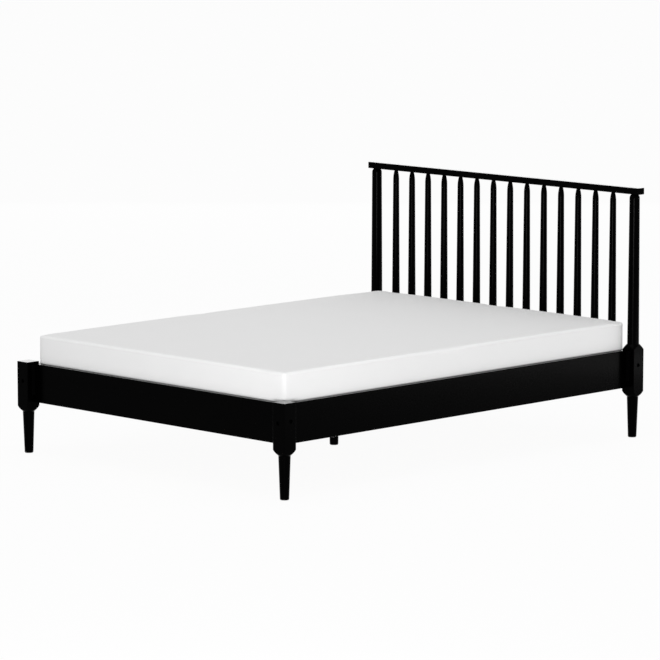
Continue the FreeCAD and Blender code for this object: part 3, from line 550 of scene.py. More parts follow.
@dataclass(frozen=True)
class Pine(Finish):
    """Planed softwood with its growth rings and fibres."""

    grain: Grain = Grain.ACROSS
    early: Colour = (0.80, 0.63, 0.43)
    late: Colour = (0.60, 0.41, 0.23)
    roughness: float = 0.52
    reflectance: float = 0.35
    ring_scales: tuple[float, float] = (55, 1.6)
    ring_bend: float = 7.0
    fibre_scales: tuple[float, float] = (1300, 22)
    patch_scales: tuple[float, float] = (9, 2)
    ring_tone: float = 0.55
    fibre_tone: float = 0.35
    patch_tone: float = 0.5
    base_tone: float = -0.2
    fibre_rough: float = 0.16
    ring_height: float = 0.5
    relief: float = 0.0003

    def sockets(self, graph: Graph) -> dict[str, Input]:
        """The shader's sockets, by name.

        Args:
            graph: the material's tree.

        Returns:
            The value or link of each socket.
        """
        settings = {"wave_type": "BANDS", "bands_direction": "DIAGONAL", "wave_profile": "SAW"}
        slow = graph.coords(self.grain.stretch(*self.ring_scales))
        inputs = {"Vector": slow, "Scale": 1.0, "Distortion": self.ring_bend}
        inputs |= {"Detail": 2.0, "Detail Scale": 0.35}
        rings = graph.wire("ShaderNodeTexWave", settings, inputs, 1)
        fibres = graph.noise(self.grain.stretch(*self.fibre_scales), detail=3, rough=0.65)
        patches = graph.noise(self.grain.stretch(*self.patch_scales), detail=2)
        tone = self.ring_tone * rings + self.fibre_tone * fibres + self.patch_tone * patches
        height = fibres + self.ring_height * rings
        return {
            "Base Color": graph.blend((tone + self.base_tone).kept(), self.early, self.late),
            "Roughness": self.roughness + self.fibre_rough * fibres,
            "Normal": graph.bump(height, depth=self.relief, strength=0.5),
        }


@dataclass(frozen=True)
class PlatedSteel(Finish):
    """Pressed steel with a coating: bright zinc, or black oxide."""

    light: Colour = (0.66, 0.67, 0.69)
    dull: Colour = (0.52, 0.52, 0.50)
    roughness: float = 0.3
    spangle_scale: float = 450
    smear_scales: tuple[float, float, float] = (60, 60, 25)
    spangle_tone: float = 0.3
    smear_tone: float = 0.9
    base_tone: float = -0.1
    spangle_rough: float = 0.12
    smear_rough: float = 0.1
    relief: float = 0.0001

    def sockets(self, graph: Graph) -> dict[str, Input]:
        """The shader's sockets, by name.

        Args:
            graph: the material's tree.

        Returns:
            The value or link of each socket.
        """
        place = graph.coords(self.spangle_scale)
        cells = graph.wire("ShaderNodeTexVoronoi", {}, {"Vector": place}, "Color")
        spangle = graph.axes(cells)[0]
        smear = graph.noise(self.smear_scales, detail=4, rough=0.6)
        tone = self.spangle_tone * spangle + self.smear_tone * smear + self.base_tone
        rough = self.roughness + self.spangle_rough * spangle + self.smear_rough * smear
        return {
            "Base Color": graph.blend(tone.kept(), self.light, self.dull),
            "Metallic": 1.0,
            "Roughness": rough,
            "Normal": graph.bump(smear, depth=self.relief, strength=0.4),
        }


@dataclass(frozen=True)
class HardPlastic(Finish):
    """Moulded plastic with a fine spark-eroded grain."""

    colour: Colour = (0.02, 0.02, 0.021)
    roughness: float = 0.42
    reflectance: float = 0.4
    grain_scale: float = 2500
    grain_rough: float = 0.15
    grain_depth: float = 0.00008

    def sockets(self, graph: Graph) -> dict[str, Input]:
        """The shader's sockets, by name.

        Args:
            graph: the material's tree.

        Returns:
            The value or link of each socket.
        """
        grain = graph.noise(self.grain_scale, detail=2)
        return {
            "Base Color": (*self.colour, 1),
            "Roughness": self.roughness + self.grain_rough * grain,
            "Normal": graph.bump(grain, depth=self.grain_depth, strength=0.5),
        }


@dataclass(frozen=True)
class Webbing(Finish):
    """Woven polyester webbing: ribs across it, a denser selvedge at both edges, and painted shade
    in the weave's hollows.
    """

    centres: tuple[float, ...] = ()
    width: float = 0.03
    pale: Colour = (0.74, 0.72, 0.67)
    # The darker end of the mix: painted shade in the weave's hollows, and the selvedge's own darker
    # tone.
    shaded: Colour = (0.46, 0.44, 0.40)
    roughness: float = 0.85
    reflectance: float = 0.25
    sheen: float = 0.15
    rib: float = 0.0022
    yarn: float = 0.0012
    selvedge_from: float = 0.84
    fuzz_scale: float = 900
    rib_height: float = 0.65
    fuzz_height: float = 0.2
    selvedge_tone: float = -0.25
    fuzz_tone: float = 0.25
    relief: float = 0.0005

    def sockets(self, graph: Graph) -> dict[str, Input]:
        """The shader's sockets, by name.

        Args:
            graph: the material's tree.

        Returns:
            The value or link of each socket.
        """
        across, lengthways, _ = graph.axes(graph.coords())
        ribs = abs((lengthways * (math.pi / self.rib)).sine())
        yarns = abs((across * (math.pi / self.yarn)).sine())
        off_centre = abs(abs(across) - max(self.centres)) / (self.width / 2)
        selvedge = off_centre.above(self.selvedge_from)
        weave = self.rib_height * ribs + (1 - self.rib_height) * yarns
        fuzz = graph.noise(self.fuzz_scale, detail=2)
        # Painted shade: the weave's hollows are darker; the selvedge's tone and the fuzz are the
        # webbing's own.
        tone = weave + self.selvedge_tone * selvedge + self.fuzz_tone * fuzz
        height = weave + self.fuzz_height * fuzz
        return {
            "Base Color": graph.blend(tone.kept(), self.shaded, self.pale),
            "Sheen Weight": self.sheen,
            "Normal": graph.bump(height, depth=self.relief, strength=0.7),
        }


@dataclass(frozen=True)
class KnitCover(Finish):
    """The mattress's white cover: a fine rib knit, a sunk seam round both edges, and painted shade
    in their hollows.
    """

    seams: tuple[float, ...] = ()
    white: Colour = (0.93, 0.93, 0.93)
    # The darker end of the mix: painted shade in the knit's hollows and the seams' grooves, and the
    # loft's random tone.
    shaded: Colour = (0.80, 0.80, 0.80)
    roughness: float = 0.92
    reflectance: float = 0.2
    sheen: float = 0.08
    sheen_roughness: float = 0.5
    wale: float = 0.0021
    course: float = 0.0016
    course_height: float = 0.25
    knit_height: float = 0.8
    # How much painted shade darkens the knit's hollows.
    knit_painted_shade: float = 0.12
    yarn_depth: float = 0.0003
    fuzz_scale: float = 700
    loft_scale: float = 7
    loft_depth: float = 0.004
    loft_tone: float = 0.06
    seam_width: float = 0.0018
    seam_depth: float = 0.0008
    # How much painted shade darkens the seams' grooves.
    seam_painted_shade: float = 0.12
    facing_limit: float = 0.7

    def sockets(self, graph: Graph) -> dict[str, Input]:
        """The shader's sockets, by name.

        Args:
            graph: the material's tree.

        Returns:
            The value or link of each socket.
        """
        knit = self._knit(graph)
        seam = self._seam(graph)
        fuzz = graph.noise(self.fuzz_scale, detail=2)
        loft = graph.noise(self.loft_scale, detail=2, rough=0.4)
        body = graph.bump(loft, depth=self.loft_depth, strength=0.35)
        yarns = self.knit_height * knit + (1 - self.knit_height) * fuzz
        cloth = graph.bump(yarns, depth=self.yarn_depth, strength=0.35, over=body)
        # Painted shade: the knit's hollows and the seams' grooves are darker; the loft varies the
        # tone at random.
        tone = self.knit_painted_shade * (1 - knit) + self.seam_painted_shade * seam + self.loft_tone * loft
        return {
            "Base Color": graph.blend(tone.kept(), self.white, self.shaded),
            "Sheen Weight": self.sheen,
            "Sheen Roughness": self.sheen_roughness,
            "Normal": graph.bump(1 - seam, depth=self.seam_depth, strength=0.5, over=cloth),
        }

    def _knit(self, graph: Graph) -> Wire:
        """Loops of the knit, laid flat on each side of the mattress.

        Args:
            graph: the material's tree.

        Returns:
            The height of the yarn, from 0 to 1.
        """
        x, y, z = graph.axes(graph.coords())
        normal = graph.wire("ShaderNodeTexCoord", output="Normal")
        facing = [abs(part).above(self.facing_limit) for part in graph.axes(normal)]
        first = facing[0] * y + facing[1] * x + facing[2] * x
        second = (facing[0] + facing[1]) * z + facing[2] * y
        wales = abs((first * (math.pi / self.wale)).sine())
        courses = (second * (2 * math.pi / self.course)).sine()
        crossed = self.course_height * wales * courses
        return ((1 - self.course_height) * wales + crossed).kept()

    def _seam(self, graph: Graph) -> Wire:
        """1 in the middle of the seams' grooves, falling to 0 beside them.

        Args:
            graph: the material's tree.

        Returns:
            How deep in a groove a point is.
        """
        height = graph.axes(graph.coords())[UPRIGHT_AXIS]
        grooves = [(1 - abs(height - seam) / self.seam_width).kept() for seam in self.seams]
        return grooves[0].or_above(grooves[1])


@dataclass(frozen=True)
class Thread(Finish):
    """White sewing thread."""

    white: Colour = (0.86, 0.86, 0.85)
    roughness: float = 0.55
    twist_scale: float = 3000
    twist_rough: float = 0.2
    twist_depth: float = 0.0001

    def sockets(self, graph: Graph) -> dict[str, Input]:
        """The shader's sockets, by name.

        Args:
            graph: the material's tree.

        Returns:
            The value or link of each socket.
        """
        twist = graph.noise(self.twist_scale, detail=1)
        return {
            "Base Color": (*self.white, 1),
            "Roughness": self.roughness + self.twist_rough * twist,
            "Normal": graph.bump(twist, depth=self.twist_depth, strength=0.5),
        }


# ---- The bed's wooden frame and its hardware ----
@dataclass
class LacqueredFrame:
    """Posts, rails, spindles and centre leg, all in black lacquer."""

    across: tuple[str, ...] = ("foot_rail", "head_rail", "top_rail")
    along: tuple[str, ...] = ("side_rail_left", "side_rail_right")
    upright: list[str] = field(default_factory=lambda: named("post", "spindle_", "centre_leg"))

    def dress(self) -> None:
        """Lacquer each piece, with the grain along its length."""
        for grain, nodes in zip(Grain, (self.across, self.along, self.upright)):
            BlackLacquer("black_lacquer_" + grain.name.lower(), grain=grain).dress(nodes)


@dataclass
class Hardware:
    """Angles, saddles, bolts, insert and glides, and the cross-recessed wood screws.

    The shares are of the radius of a screw's head, and the taper is of its recess's outline.
    """

    plated: list[str] = field(default_factory=lambda: named("beam_saddle", "hanger", "insert"))
    blackened: list[str] = field(
        default_factory=lambda: named("corner_angle", "corner_bolts", "angle_screws")
    )
    oxide: Colour = (0.006, 0.006, 0.007)
    dull_oxide: Colour = (0.003, 0.003, 0.003)
    screws: tuple[str, ...] = ("cleat_screws", "slat_screws", "saddle_screws")
    sides: int = 24
    rim: float = 0.0003
    rim_bevel: float = 0.0002
    point_length: float = 0.004
    cone_share: float = 0.65
    shank_share: float = 0.5
    recess_depth: float = 0.0014
    recess_arm: float = 0.0024
    recess_width: float = 0.0009
    recess_taper: float = 0.55
    seed: int = 0

    def dress(self) -> None:
        """Plate the steel and mould the glides."""
        PlatedSteel("bright_zinc").dress(self.plated)
        black = PlatedSteel("black_oxide", 0.38, light=self.oxide, dull=self.dull_oxide)
        black.dress(self.blackened)
        HardPlastic("hard_plastic").dress(["glides"])

    def build(self) -> None:
        """Make each group of visible screws, one screw for each solid of its node."""
        recipe = self._recipe()
        zinc = PlatedSteel("screw_zinc", roughness=0.24).material()
        for node in self.screws:
            boxes = solids_of(node)
            pattern = link(node + "_pattern", self._screw(boxes[0]))
            values = {"Screw": pattern, "Seed": self.seed, "Material": zinc}
            piece = recipe.run(node + "_detailed", self._points(boxes), values)
            bpy.data.objects.remove(pattern)
            hand_over(piece, "frame", [node])

    @staticmethod
    def _aim(box: Box) -> Vector:
        """The way a screw's head faces: up, or towards the middle of the bed.

        Args:
            box: the screw's box in the CAD node.

        Returns:
            The direction.
        """
        size = box[1] - box[0]
        axis = max(range(3), key=lambda number: size[number])
        middle = (box[0] + box[1]) / 2
        aim = Vector((0, 0, 0))
        aim[axis] = 1.0 if axis == UPRIGHT_AXIS or middle[axis] < 0 else -1.0
        return aim

    def _points(self, boxes: Sequence[Box]) -> bpy.types.Mesh:
        """Points at the middle of the screws' heads.

        Args:
            boxes: the screws' boxes.

        Returns:
            A mesh of points, with each head's aim as an attribute.
        """
        heads, aims = [], []
        for low, high in boxes:
            aim = self._aim((low, high))
            half = (high - low) / 2
            heads.append((low + high) / 2 + Vector(a * b for a, b in zip(aim, half)))
            aims.append(aim)
        mesh = bpy.data.meshes.new("screw_places")
        mesh.from_pydata(heads, [], [])
        attribute = mesh.attributes.new("aim", "FLOAT_VECTOR", "POINT")
        for item, aim in zip(attribute.data, aims):
            item.vector = aim
        return mesh

    @staticmethod
    def _recipe() -> Recipe:
        """The tree that sets a screw on each point, facing its aim and turned about it.

        Returns:
            The tree.
        """
        recipe = Recipe("screws", Screw="Object")
        graph = recipe.graph
        settings = {"data_type": "FLOAT_VECTOR"}
        aim = graph.wire("GeometryNodeInputNamedAttribute", settings, {"Name": "aim"})
        facing = graph.wire("FunctionNodeAlignRotationToVector", {"axis": "Z"}, {"Vector": aim})
        about = graph.vector(Z=recipe.chance(0.0, math.pi))
        settings = {"rotation_space": "LOCAL"}
        driven = graph.wire("FunctionNodeRotateRotation", settings, {0: facing, 1: about})
        recipe.finish(recipe.given("Geometry"), recipe.shape("Screw"), Rotation=driven)
        return recipe

    def _screw(self, box: Box) -> bpy.types.Mesh:
        """A countersunk screw, its head's face at the origin and its shank running down.

        Args:
            box: one screw's box in the CAD node.

        Returns:
            The screw's mesh.
        """
        size = sorted(box[1] - box[0])
        length, head = size[2], size[1] / 2
        profile = [
            (head * self.shank_share, -length + self.point_length),
            (head * self.shank_share, -head * self.cone_share),
            (head, -self.rim),
            (head - self.rim_bevel, 0.0),
        ]
        work = bmesh.new()
        rings = [self._ring(work, radius, height) for radius, height in profile]
        skin(work, rings)
        tip = work.verts.new((0, 0, -length))
        for first, second in zip(rings[0], rings[0][1:] + rings[0][:1]):
            work.faces.new((tip, second, first))
        self._recessed_face(work, rings[-1])
        return mesh_from("wood_screw", work, smooth=False)

    def _ring(self, work: bmesh.types.BMesh, radius: float, height: float) -> Ring:
        """A level ring of points.

        Args:
            work: the bmesh that gets them.
            radius: the ring's radius.
            height: the ring's height.

        Returns:
            The points.
        """
        angles = [2 * math.pi * step / self.sides for step in range(self.sides)]
        places = [(radius * math.cos(angle), radius * math.sin(angle)) for angle in angles]
        return [work.verts.new((x, y, height)) for x, y in places]

    def _recessed_face(self, work: bmesh.types.BMesh, rim: Ring) -> None:
        """Close a head with a face that has a cross recess sunk into it.

        Args:
            work: the screw's bmesh.
            rim: the ring round the face.
        """
        wide, narrow = self.recess_arm, self.recess_width / 2
        corner = [(wide, -narrow), (wide, narrow), (narrow, narrow)]
        outline = []
        for cosine, sine in ((1, 0), (0, 1), (-1, 0), (0, -1)):
            outline += [(x * cosine - y * sine, x * sine + y * cosine) for x, y in corner]
        taper = self.recess_taper
        top = [work.verts.new((x, y, 0)) for x, y in outline]
        floor = [work.verts.new((x * taper, y * taper, -self.recess_depth)) for x, y in outline]
        skin(work, [floor, top])
        work.faces.new(floor)
        edges = []
        for loop in (top, rim):
            edges += [work.edges.get(pair) for pair in zip(loop, loop[1:] + loop[:1])]
        bmesh.ops.triangle_fill(work, use_beauty=True, edges=edges)


# ---- The slat base ----
@dataclass
class SlatBase:
    """Slats, cleats and beam in bare pine, with the webbing straps and their staples.

    A staple's flatness, shoulder and lift are shares of its wire's width.
    """

    slats: list[str] = field(
        default_factory=lambda: [node for node in named("slat_") if node[-2:].isdigit()]
    )
    lengthways: tuple[str, ...] = ("cleat_left", "cleat_right", "centre_beam")
    straps: tuple[str, ...] = ("slat_strap_left", "slat_strap_right")
    steps_over_slat: int = 6
    steps_between: int = 10
    sag: float = 0.0012
    staple_crown: float = 0.011
    staple_wire: float = 0.0006
    staple_flatness: float = 0.6
    staple_shoulder: float = 0.1
    staple_lift: float = 0.7
    staple_spread: float = 0.012
    staple_skew: float = 0.12

    def __post_init__(self) -> None:
        """Take the slats' front and back edges from the CAD."""
        boxes = [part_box(slat) for slat in self.slats]
        self.edges = [(low.y, high.y) for low, high in boxes]

    def dress(self) -> None:
        """Leave the wood bare."""
        Pine("pine_across", grain=Grain.ACROSS).dress(self.slats)
        Pine("pine_along", grain=Grain.ALONG).dress(self.lengthways)

    def build(self) -> None:
        """Weave the straps and drive their staples."""
        boxes = [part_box(strap) for strap in self.straps]
        centres = tuple((low.x + high.x) / 2 for low, high in boxes)
        width = boxes[0][1].x - boxes[0][0].x
        webbing = Webbing("webbing", centres=centres, width=width).material()
        wire = PlatedSteel("staple_wire", roughness=0.25).material()
        for node, box in zip(self.straps, boxes):
            strap = link(node + "_woven", self._strap(box))
            strap.data.materials.append(webbing)
            hand_over(strap, "frame", [node])
            self._staples(node, box, wire)

    def _stations(self, box: Box) -> list[tuple[float, float]]:
        """Places along a strap: flat over each slat, and hanging a little between two.

        Args:
            box: the strap's box in the CAD.

        Returns:
            The place and the sag of each station.
        """
        stations = []
        for number, (start, stop) in enumerate(self.edges):
            first, last = max(start, box[0].y), min(stop, box[1].y)
            stations += [(y, 0.0) for y in np.linspace(first, last, self.steps_over_slat)]
            if number + 1 < len(self.edges):
                reach = self.edges[number + 1][0] - stop
                for share in np.linspace(0, 1, self.steps_between + 1)[1:-1]:
                    sag = self.sag * math.sin(math.pi * share) ** 2
                    stations.append((stop + share * reach, sag))
        return stations

    def _strap(self, box: Box) -> bpy.types.Mesh:
        """A strap with rounded edges that follows its stations.

        Args:
            box: the strap's box in the CAD.

        Returns:
            The strap's mesh.
        """
        low, high = box
        middle, half = (low.x + high.x) / 2, (high.x - low.x) / 2
        thick = high.z - low.z
        lip = thick / 2
        profile = [(-half, lip), (-half + lip, thick), (half - lip, thick), (half, lip)]
        profile += [(half - lip, 0.0), (-half + lip, 0.0)]
        work = bmesh.new()
        rings = []
        for y, sag in self._stations(box):
            rings.append([work.verts.new((middle + x, y, low.z + z - sag)) for x, z in profile])
        skin(work, rings, capped=True)
        return mesh_from("strap", work)

    def _staples(self, node: str, box: Box, wire: bpy.types.Material) -> None:
        """Two staples through a strap into each slat.

        Args:
            node: the strap's node.
            box: its box in the CAD.
            wire: the staples' material.
        """
        places = [(start + stop) / 2 for start, stop in self.edges]
        pattern = link("staple_pattern", self._staple())
        # The seed is the length of the node's name, which differs from strap to strap.
        values = {
            "Staple": pattern,
            "Count": len(places),
            "Pitch": (places[-1] - places[0]) / (len(places) - 1),
            "Start": Vector(((box[0].x + box[1].x) / 2, places[0], box[1].z)),
            "Spread": self.staple_spread,
            "Seed": len(node),
            "Material": wire,
        }
        source = bpy.data.meshes.new("staples")
        piece = self._recipe().run(node + "_staples", source, values)
        bpy.data.objects.remove(pattern)
        hand_over(piece, "frame")

    def _recipe(self) -> Recipe:
        """The tree that drives two rows of staples, one pair at each slat.

        Returns:
            The tree.
        """
        sizes = {"Pitch": "Float", "Start": "Vector", "Spread": "Float"}
        recipe = Recipe("staples", Staple="Object", Count="Int", **sizes)
        graph = recipe.graph
        step = graph.vector(Y=recipe.given("Pitch"))
        both = graph.add("GeometryNodeJoinGeometry")
        for side in (-0.5, 0.5):
            parts = {0: recipe.given("Start"), 1: graph.vector(Y=recipe.given("Spread") * side)}
            start = graph.wire("ShaderNodeVectorMath", {"operation": "ADD"}, parts)
            inputs = {"Count": recipe.given("Count"), "Start Location": start, "Offset": step}
            row = graph.wire("GeometryNodeMeshLine", {"mode": "OFFSET"}, inputs)
            graph.tree.links.new(row.socket, both.inputs[0])
        turn = graph.vector(Z=recipe.chance(-self.staple_skew, self.staple_skew))
        recipe.finish(Wire(graph, both.outputs[0]), recipe.shape("Staple"), Rotation=turn)
        return recipe

    def _staple(self) -> bpy.types.Mesh:
        """A staple's crown, flat on the webbing, with its two shoulders bent into it.

        Returns:
            The staple's mesh.
        """
        half, wire = self.staple_crown / 2, self.staple_wire
        path = [(-half, -wire), (-half, self.staple_shoulder * wire)]
        path.append((-half + wire, self.staple_lift * wire))
        path += [(-x, z) for x, z in reversed(path)]
        drop = -wire * self.staple_flatness
        corners = [(-wire / 2, 0), (wire / 2, 0), (wire / 2, drop), (-wire / 2, drop)]
        work = bmesh.new()
        rings = [[work.verts.new((x, y, z + lower)) for y, lower in corners] for x, z in path]
        skin(work, rings, capped=True)
        return mesh_from("staple", work, smooth=False)


# ---- The mattress ----
@dataclass
class Mattress:
    """A stuffed mattress with a knitted cover, sewn round its upper and lower edge.

    The tuck lines and the heights of the rooms are measured up from the rails' upper edge.
    """

    node: str = "mattress"
    radius: float = 0.009
    corner_radius: float = 0.022
    cell: float = 0.024
    corner_steps: int = 4
    crown: float = 0.006
    tuck: float = 0.0075
    tuck_lines: tuple[float, ...] = (-0.001, 0.001, 0.003, 0.005)
    tuck_evenness: int = 6
    pressure: float = 4.0
    stiffness: float = 20.0
    frames: int = 20
    top_room: float = 0.004
    side_room: float = 0.0008
    tucked_room: float = 0.0006
    top_room_height: float = 0.09
    side_room_height: float = 0.05
    stitch_pitch: float = 0.0065
    stitch_length: float = 0.0046
    stitch_thickness: float = 0.0009
    stitch_spread: tuple[float, float] = (0.92, 1.04)
    stitch_segments: int = 6
    stitch_rings: int = 4
    seed: int = 7

    def __post_init__(self) -> None:
        """Take the mattress's place from its CAD solid."""
        self.low, self.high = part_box(self.node)
        self.rail_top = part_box("side_rail_left")[1].z
        self.seams = (self.low.z + self.radius, self.high.z - self.crown - self.radius)

    def build(self) -> None:
        """Make the stuffed body and its stitches."""
        body = link("mattress_body", self._shell())
        self._stuff(body)
        smooth = body.modifiers.new("smooth", "SUBSURF")
        smooth.levels = smooth.render_levels = 1
        cover = KnitCover("knit_cover", seams=self.seams).material()
        body.data = evaluated(body)
        body.modifiers.clear()
        body.data.materials.clear()
        body.data.materials.append(cover)
        stitches = self._stitches(body)
        hand_over(body, "mattress", [self.node])
        hand_over(stitches, "mattress")

    def _marks(self, half: float, fixed: Sequence[float]) -> list[float]:
        """Grid lines along one axis: even over the flat, and even in angle over the edges.

        Args:
            half: the half size along the axis.
            fixed: places between the edges that get a line of their own.

        Returns:
            The lines' places, from low to high.
        """
        flat = half - self.radius
        steps = range(1, self.corner_steps + 1)
        turns = [math.pi / 4 * step / self.corner_steps for step in steps]
        edge = [flat + self.radius * math.tan(turn) for turn in turns]
        middle = [-flat]
        for stop in (*fixed, flat):
            cells = max(1, round((stop - middle[-1]) / self.cell))
            middle += [float(mark) for mark in np.linspace(middle[-1], stop, cells + 1)[1:]]
        return [-mark for mark in reversed(edge)] + middle + edge

    def _shell(self) -> bpy.types.Mesh:
        """The cover before it is stuffed: a box with rounded edges, crowned and tucked in.

        Returns:
            The cover's mesh.
        """
        rooms = Vector((self.side_room, self.side_room, self.crown / 2))
        half = (self.high - self.low) / 2 - rooms
        centre = (self.low + self.high) / 2
        centre.z = self.low.z + half.z
        bends = [(self.corner_radius - size, size - self.corner_radius) for size in half]
        tuck = [self.rail_top - centre.z + line for line in self.tuck_lines]
        marks = [self._marks(size, fixed) for size, fixed in zip(half, (*bends[:2], tuck))]
        work = bmesh.new()
        made: dict[tuple[int, ...], bmesh.types.BMVert] = {}

        def vertex(index: tuple[int, ...]) -> bmesh.types.BMVert:
            """A point of the cover, made once.

            Args:
                index: the numbers of the three grid lines that meet there.

            Returns:
                The point.
            """
            if index not in made:
                place = Vector(marks[axis][number] for axis, number in enumerate(index))
                made[index] = work.verts.new(centre + self._formed(place, half))
            return made[index]

        for axis in range(3):
            first, second = [other for other in range(3) if other != axis]
            cells = [range(len(marks[other]) - 1) for other in (first, second)]
            for end, i, j in product((0, len(marks[axis]) - 1), *cells):
                corners = []
                for a, b in ((i, j), (i + 1, j), (i + 1, j + 1), (i, j + 1)):
                    index = [end, end, end]
                    index[first], index[second] = a, b
                    corners.append(vertex(tuple(index)))
                work.faces.new(corners)
        return mesh_from("mattress_cover", work)

    def _formed(self, place: Vector, half: Vector) -> Vector:
        """Round a point of the box, raise the crown and draw the lower half in between the rails.

        Args:
            place: the point on the box, from the box's centre.
            half: the box's half sizes.

        Returns:
            The point on the cover, from the box's centre.
        """
        edge = self.radius
        core = Vector(max(edge - h, min(h - edge, p)) for p, h in zip(place, half))
        point = self._cornered(core + (place - core).normalized() * edge, half)
        across, along = point.x / half.x, point.y / half.y
        if place.z > 0:
            rise = self.crown * (1 - across ** 2) * (1 - along ** 2)
            point.z += rise * min(1, point.z / half.z)
        over_rails = self.low.z + half.z + point.z - self.rail_top
        start, _, stop, _ = self.tuck_lines
        share = share_of(stop - over_rails, stop - start)
        # An S-shaped step from 0 over the tuck to 1 under it.
        inward = self.tuck * share * share * (3 - 2 * share)
        point.x -= inward * math.copysign(abs(across) ** self.tuck_evenness, across)
        point.y -= inward * math.copysign(abs(along) ** self.tuck_evenness, along)
        return point

    def _cornered(self, point: Vector, half: Vector) -> Vector:
        """Draw a point of the square plan in to the round of the mattress's upright corners.

        Args:
            point: the point on the box.
            half: the box's half sizes.

        Returns:
            The point, moved level.
        """
        u = (abs(point.x) - half.x) / self.corner_radius + 1
        v = (abs(point.y) - half.y) / self.corner_radius + 1
        if u <= 0 or v <= 0:
            return point
        # The usual map of a square onto a disc, on one quarter of it.
        x = half.x + (u * math.sqrt(1 - v * v / 2) - 1) * self.corner_radius
        y = half.y + (v * math.sqrt(1 - u * u / 2) - 1) * self.corner_radius
        return Vector((math.copysign(x, point.x), math.copysign(y, point.y), point.z))

    def _stuff(self, body: bpy.types.Object) -> None:
        """Swell the cover as its stuffing does, no further than there is room.

        Args:
            body: the cover.
        """
        cloth = body.modifiers.new("stuffing", "CLOTH")
        settings = cloth.settings
        settings.use_pressure = True
        settings.uniform_pressure_force = self.pressure
        settings.effector_weights.gravity = 0
        settings.tension_stiffness = settings.compression_stiffness = self.stiffness
        scene = bpy.context.scene
        for number in range(1, self.frames + 1):
            scene.frame_set(number)
        depsgraph = bpy.context.evaluated_depsgraph_get()
        swollen = [vertex.co.copy() for vertex in body.evaluated_get(depsgraph).data.vertices]
        body.modifiers.remove(cloth)
        scene.frame_set(1)
        for vertex, target in zip(body.data.vertices, swollen):
            vertex.co += Vector(map(eased, target - vertex.co, self._room(vertex.co)))

    def _room(self, place: Vector) -> Vector:
        """How far a point of the cover may move along each axis.

        Args:
            place: the point.

        Returns:
            The room along each axis.
        """
        over_rails = place.z - self.rail_top
        free = share_of(over_rails, self.side_room_height)
        side = self.tucked_room + (self.side_room - self.tucked_room) * free
        return Vector((side, side, self.top_room * share_of(over_rails, self.top_room_height)))

    def _stitches(self, body: bpy.types.Object) -> bpy.types.Object:
        """A row of stitches along both seams, laid on the stuffed cover.

        Args:
            body: the cover.

        Returns:
            The stitches as one piece.
        """
        values = {
            "Surface": body,
            "Pitch": self.stitch_pitch,
            "Length": self.stitch_length,
            "Thickness": self.stitch_thickness,
            "Seed": self.seed,
            "Material": Thread("sewing_thread").material(),
        }
        return self._recipe().run("mattress_stitches", self._seam_lines(), values)

    def _seam_lines(self) -> bpy.types.Mesh:
        """The two seams as closed lines round the mattress.

        Returns:
            A mesh of edges.
        """
        points, edges = [], []
        reach, steps = self.corner_radius, self.corner_steps * 2
        for height in self.seams:
            first = len(points)
            for sign_x, sign_y in ((1, 1), (-1, 1), (-1, -1), (1, -1)):
                x = self.high.x if sign_x > 0 else self.low.x
                y = self.high.y if sign_y > 0 else self.low.y
                middle = Vector((x - sign_x * reach, y - sign_y * reach, height))
                turn = math.atan2(sign_y, sign_x) - math.pi / 4
                for step in range(steps + 1):
                    angle = turn + math.pi / 2 * step / steps
                    points.append(middle + Vector((math.cos(angle), math.sin(angle), 0)) * reach)
            count = len(points) - first
            edges += [(first + step, first + (step + 1) % count) for step in range(count)]
        mesh = bpy.data.meshes.new("seam_lines")
        mesh.from_pydata(points, edges, [])
        return mesh

    def _recipe(self) -> Recipe:
        """The tree that lays stitches along lines, on the nearest point of a surface.

        Returns:
            The tree.
        """
        sizes = {"Pitch": "Float", "Length": "Float", "Thickness": "Float"}
        recipe = Recipe("stitches", Surface="Object", **sizes)
        graph = recipe.graph
        seam = graph.wire("GeometryNodeMeshToCurve", {}, {0: recipe.given("Geometry")})
        inputs = {"Curve": seam, "Length": recipe.given("Pitch")}
        spots = graph.add("GeometryNodeCurveToPoints", {"mode": "LENGTH"}, inputs)
        points, turns = [Wire(graph, spots.outputs[name]) for name in ("Points", "Rotation")]
        settings, inputs = {"target_element": "FACES"}, {0: recipe.shape("Surface")}
        nearest = graph.wire("GeometryNodeProximity", settings, inputs, "Position")
        inputs = {"Geometry": points, "Position": nearest}
        laid = graph.wire("GeometryNodeSetPosition", {}, inputs)
        half = recipe.given("Thickness") * 0.5
        uneven = recipe.given("Length") * 0.5 * recipe.chance(*self.stitch_spread)
        inputs = {"Segments": self.stitch_segments, "Rings": self.stitch_rings, "Radius": 1.0}
        bead = graph.wire("GeometryNodeMeshUVSphere", {}, inputs)
        recipe.finish(laid, bead, Rotation=turns, Scale=graph.vector(X=half, Y=half, Z=uneven))
        return recipe


# ---- The studio ----
@dataclass(frozen=True)
class Softbox:
    """A rectangular soft lamp aimed at a point; tall is its height as a share of its width."""

    name: str
    place: Place
    aim: Place
    size: float
    power: float
    tall: float = 1.0

    def build(self) -> None:
        """Hang the lamp."""
        lamp = bpy.data.lights.new(self.name, "AREA")
        lamp.shape = "RECTANGLE"
        lamp.size, lamp.size_y = self.size, self.size * self.tall
        lamp.energy = self.power
        holder = link(self.name, lamp)
        holder.visible_camera = False
        holder.location = self.place
        way = Vector(self.aim) - Vector(self.place)
        holder.rotation_euler = way.to_track_quat("-Z", "Y").to_euler()


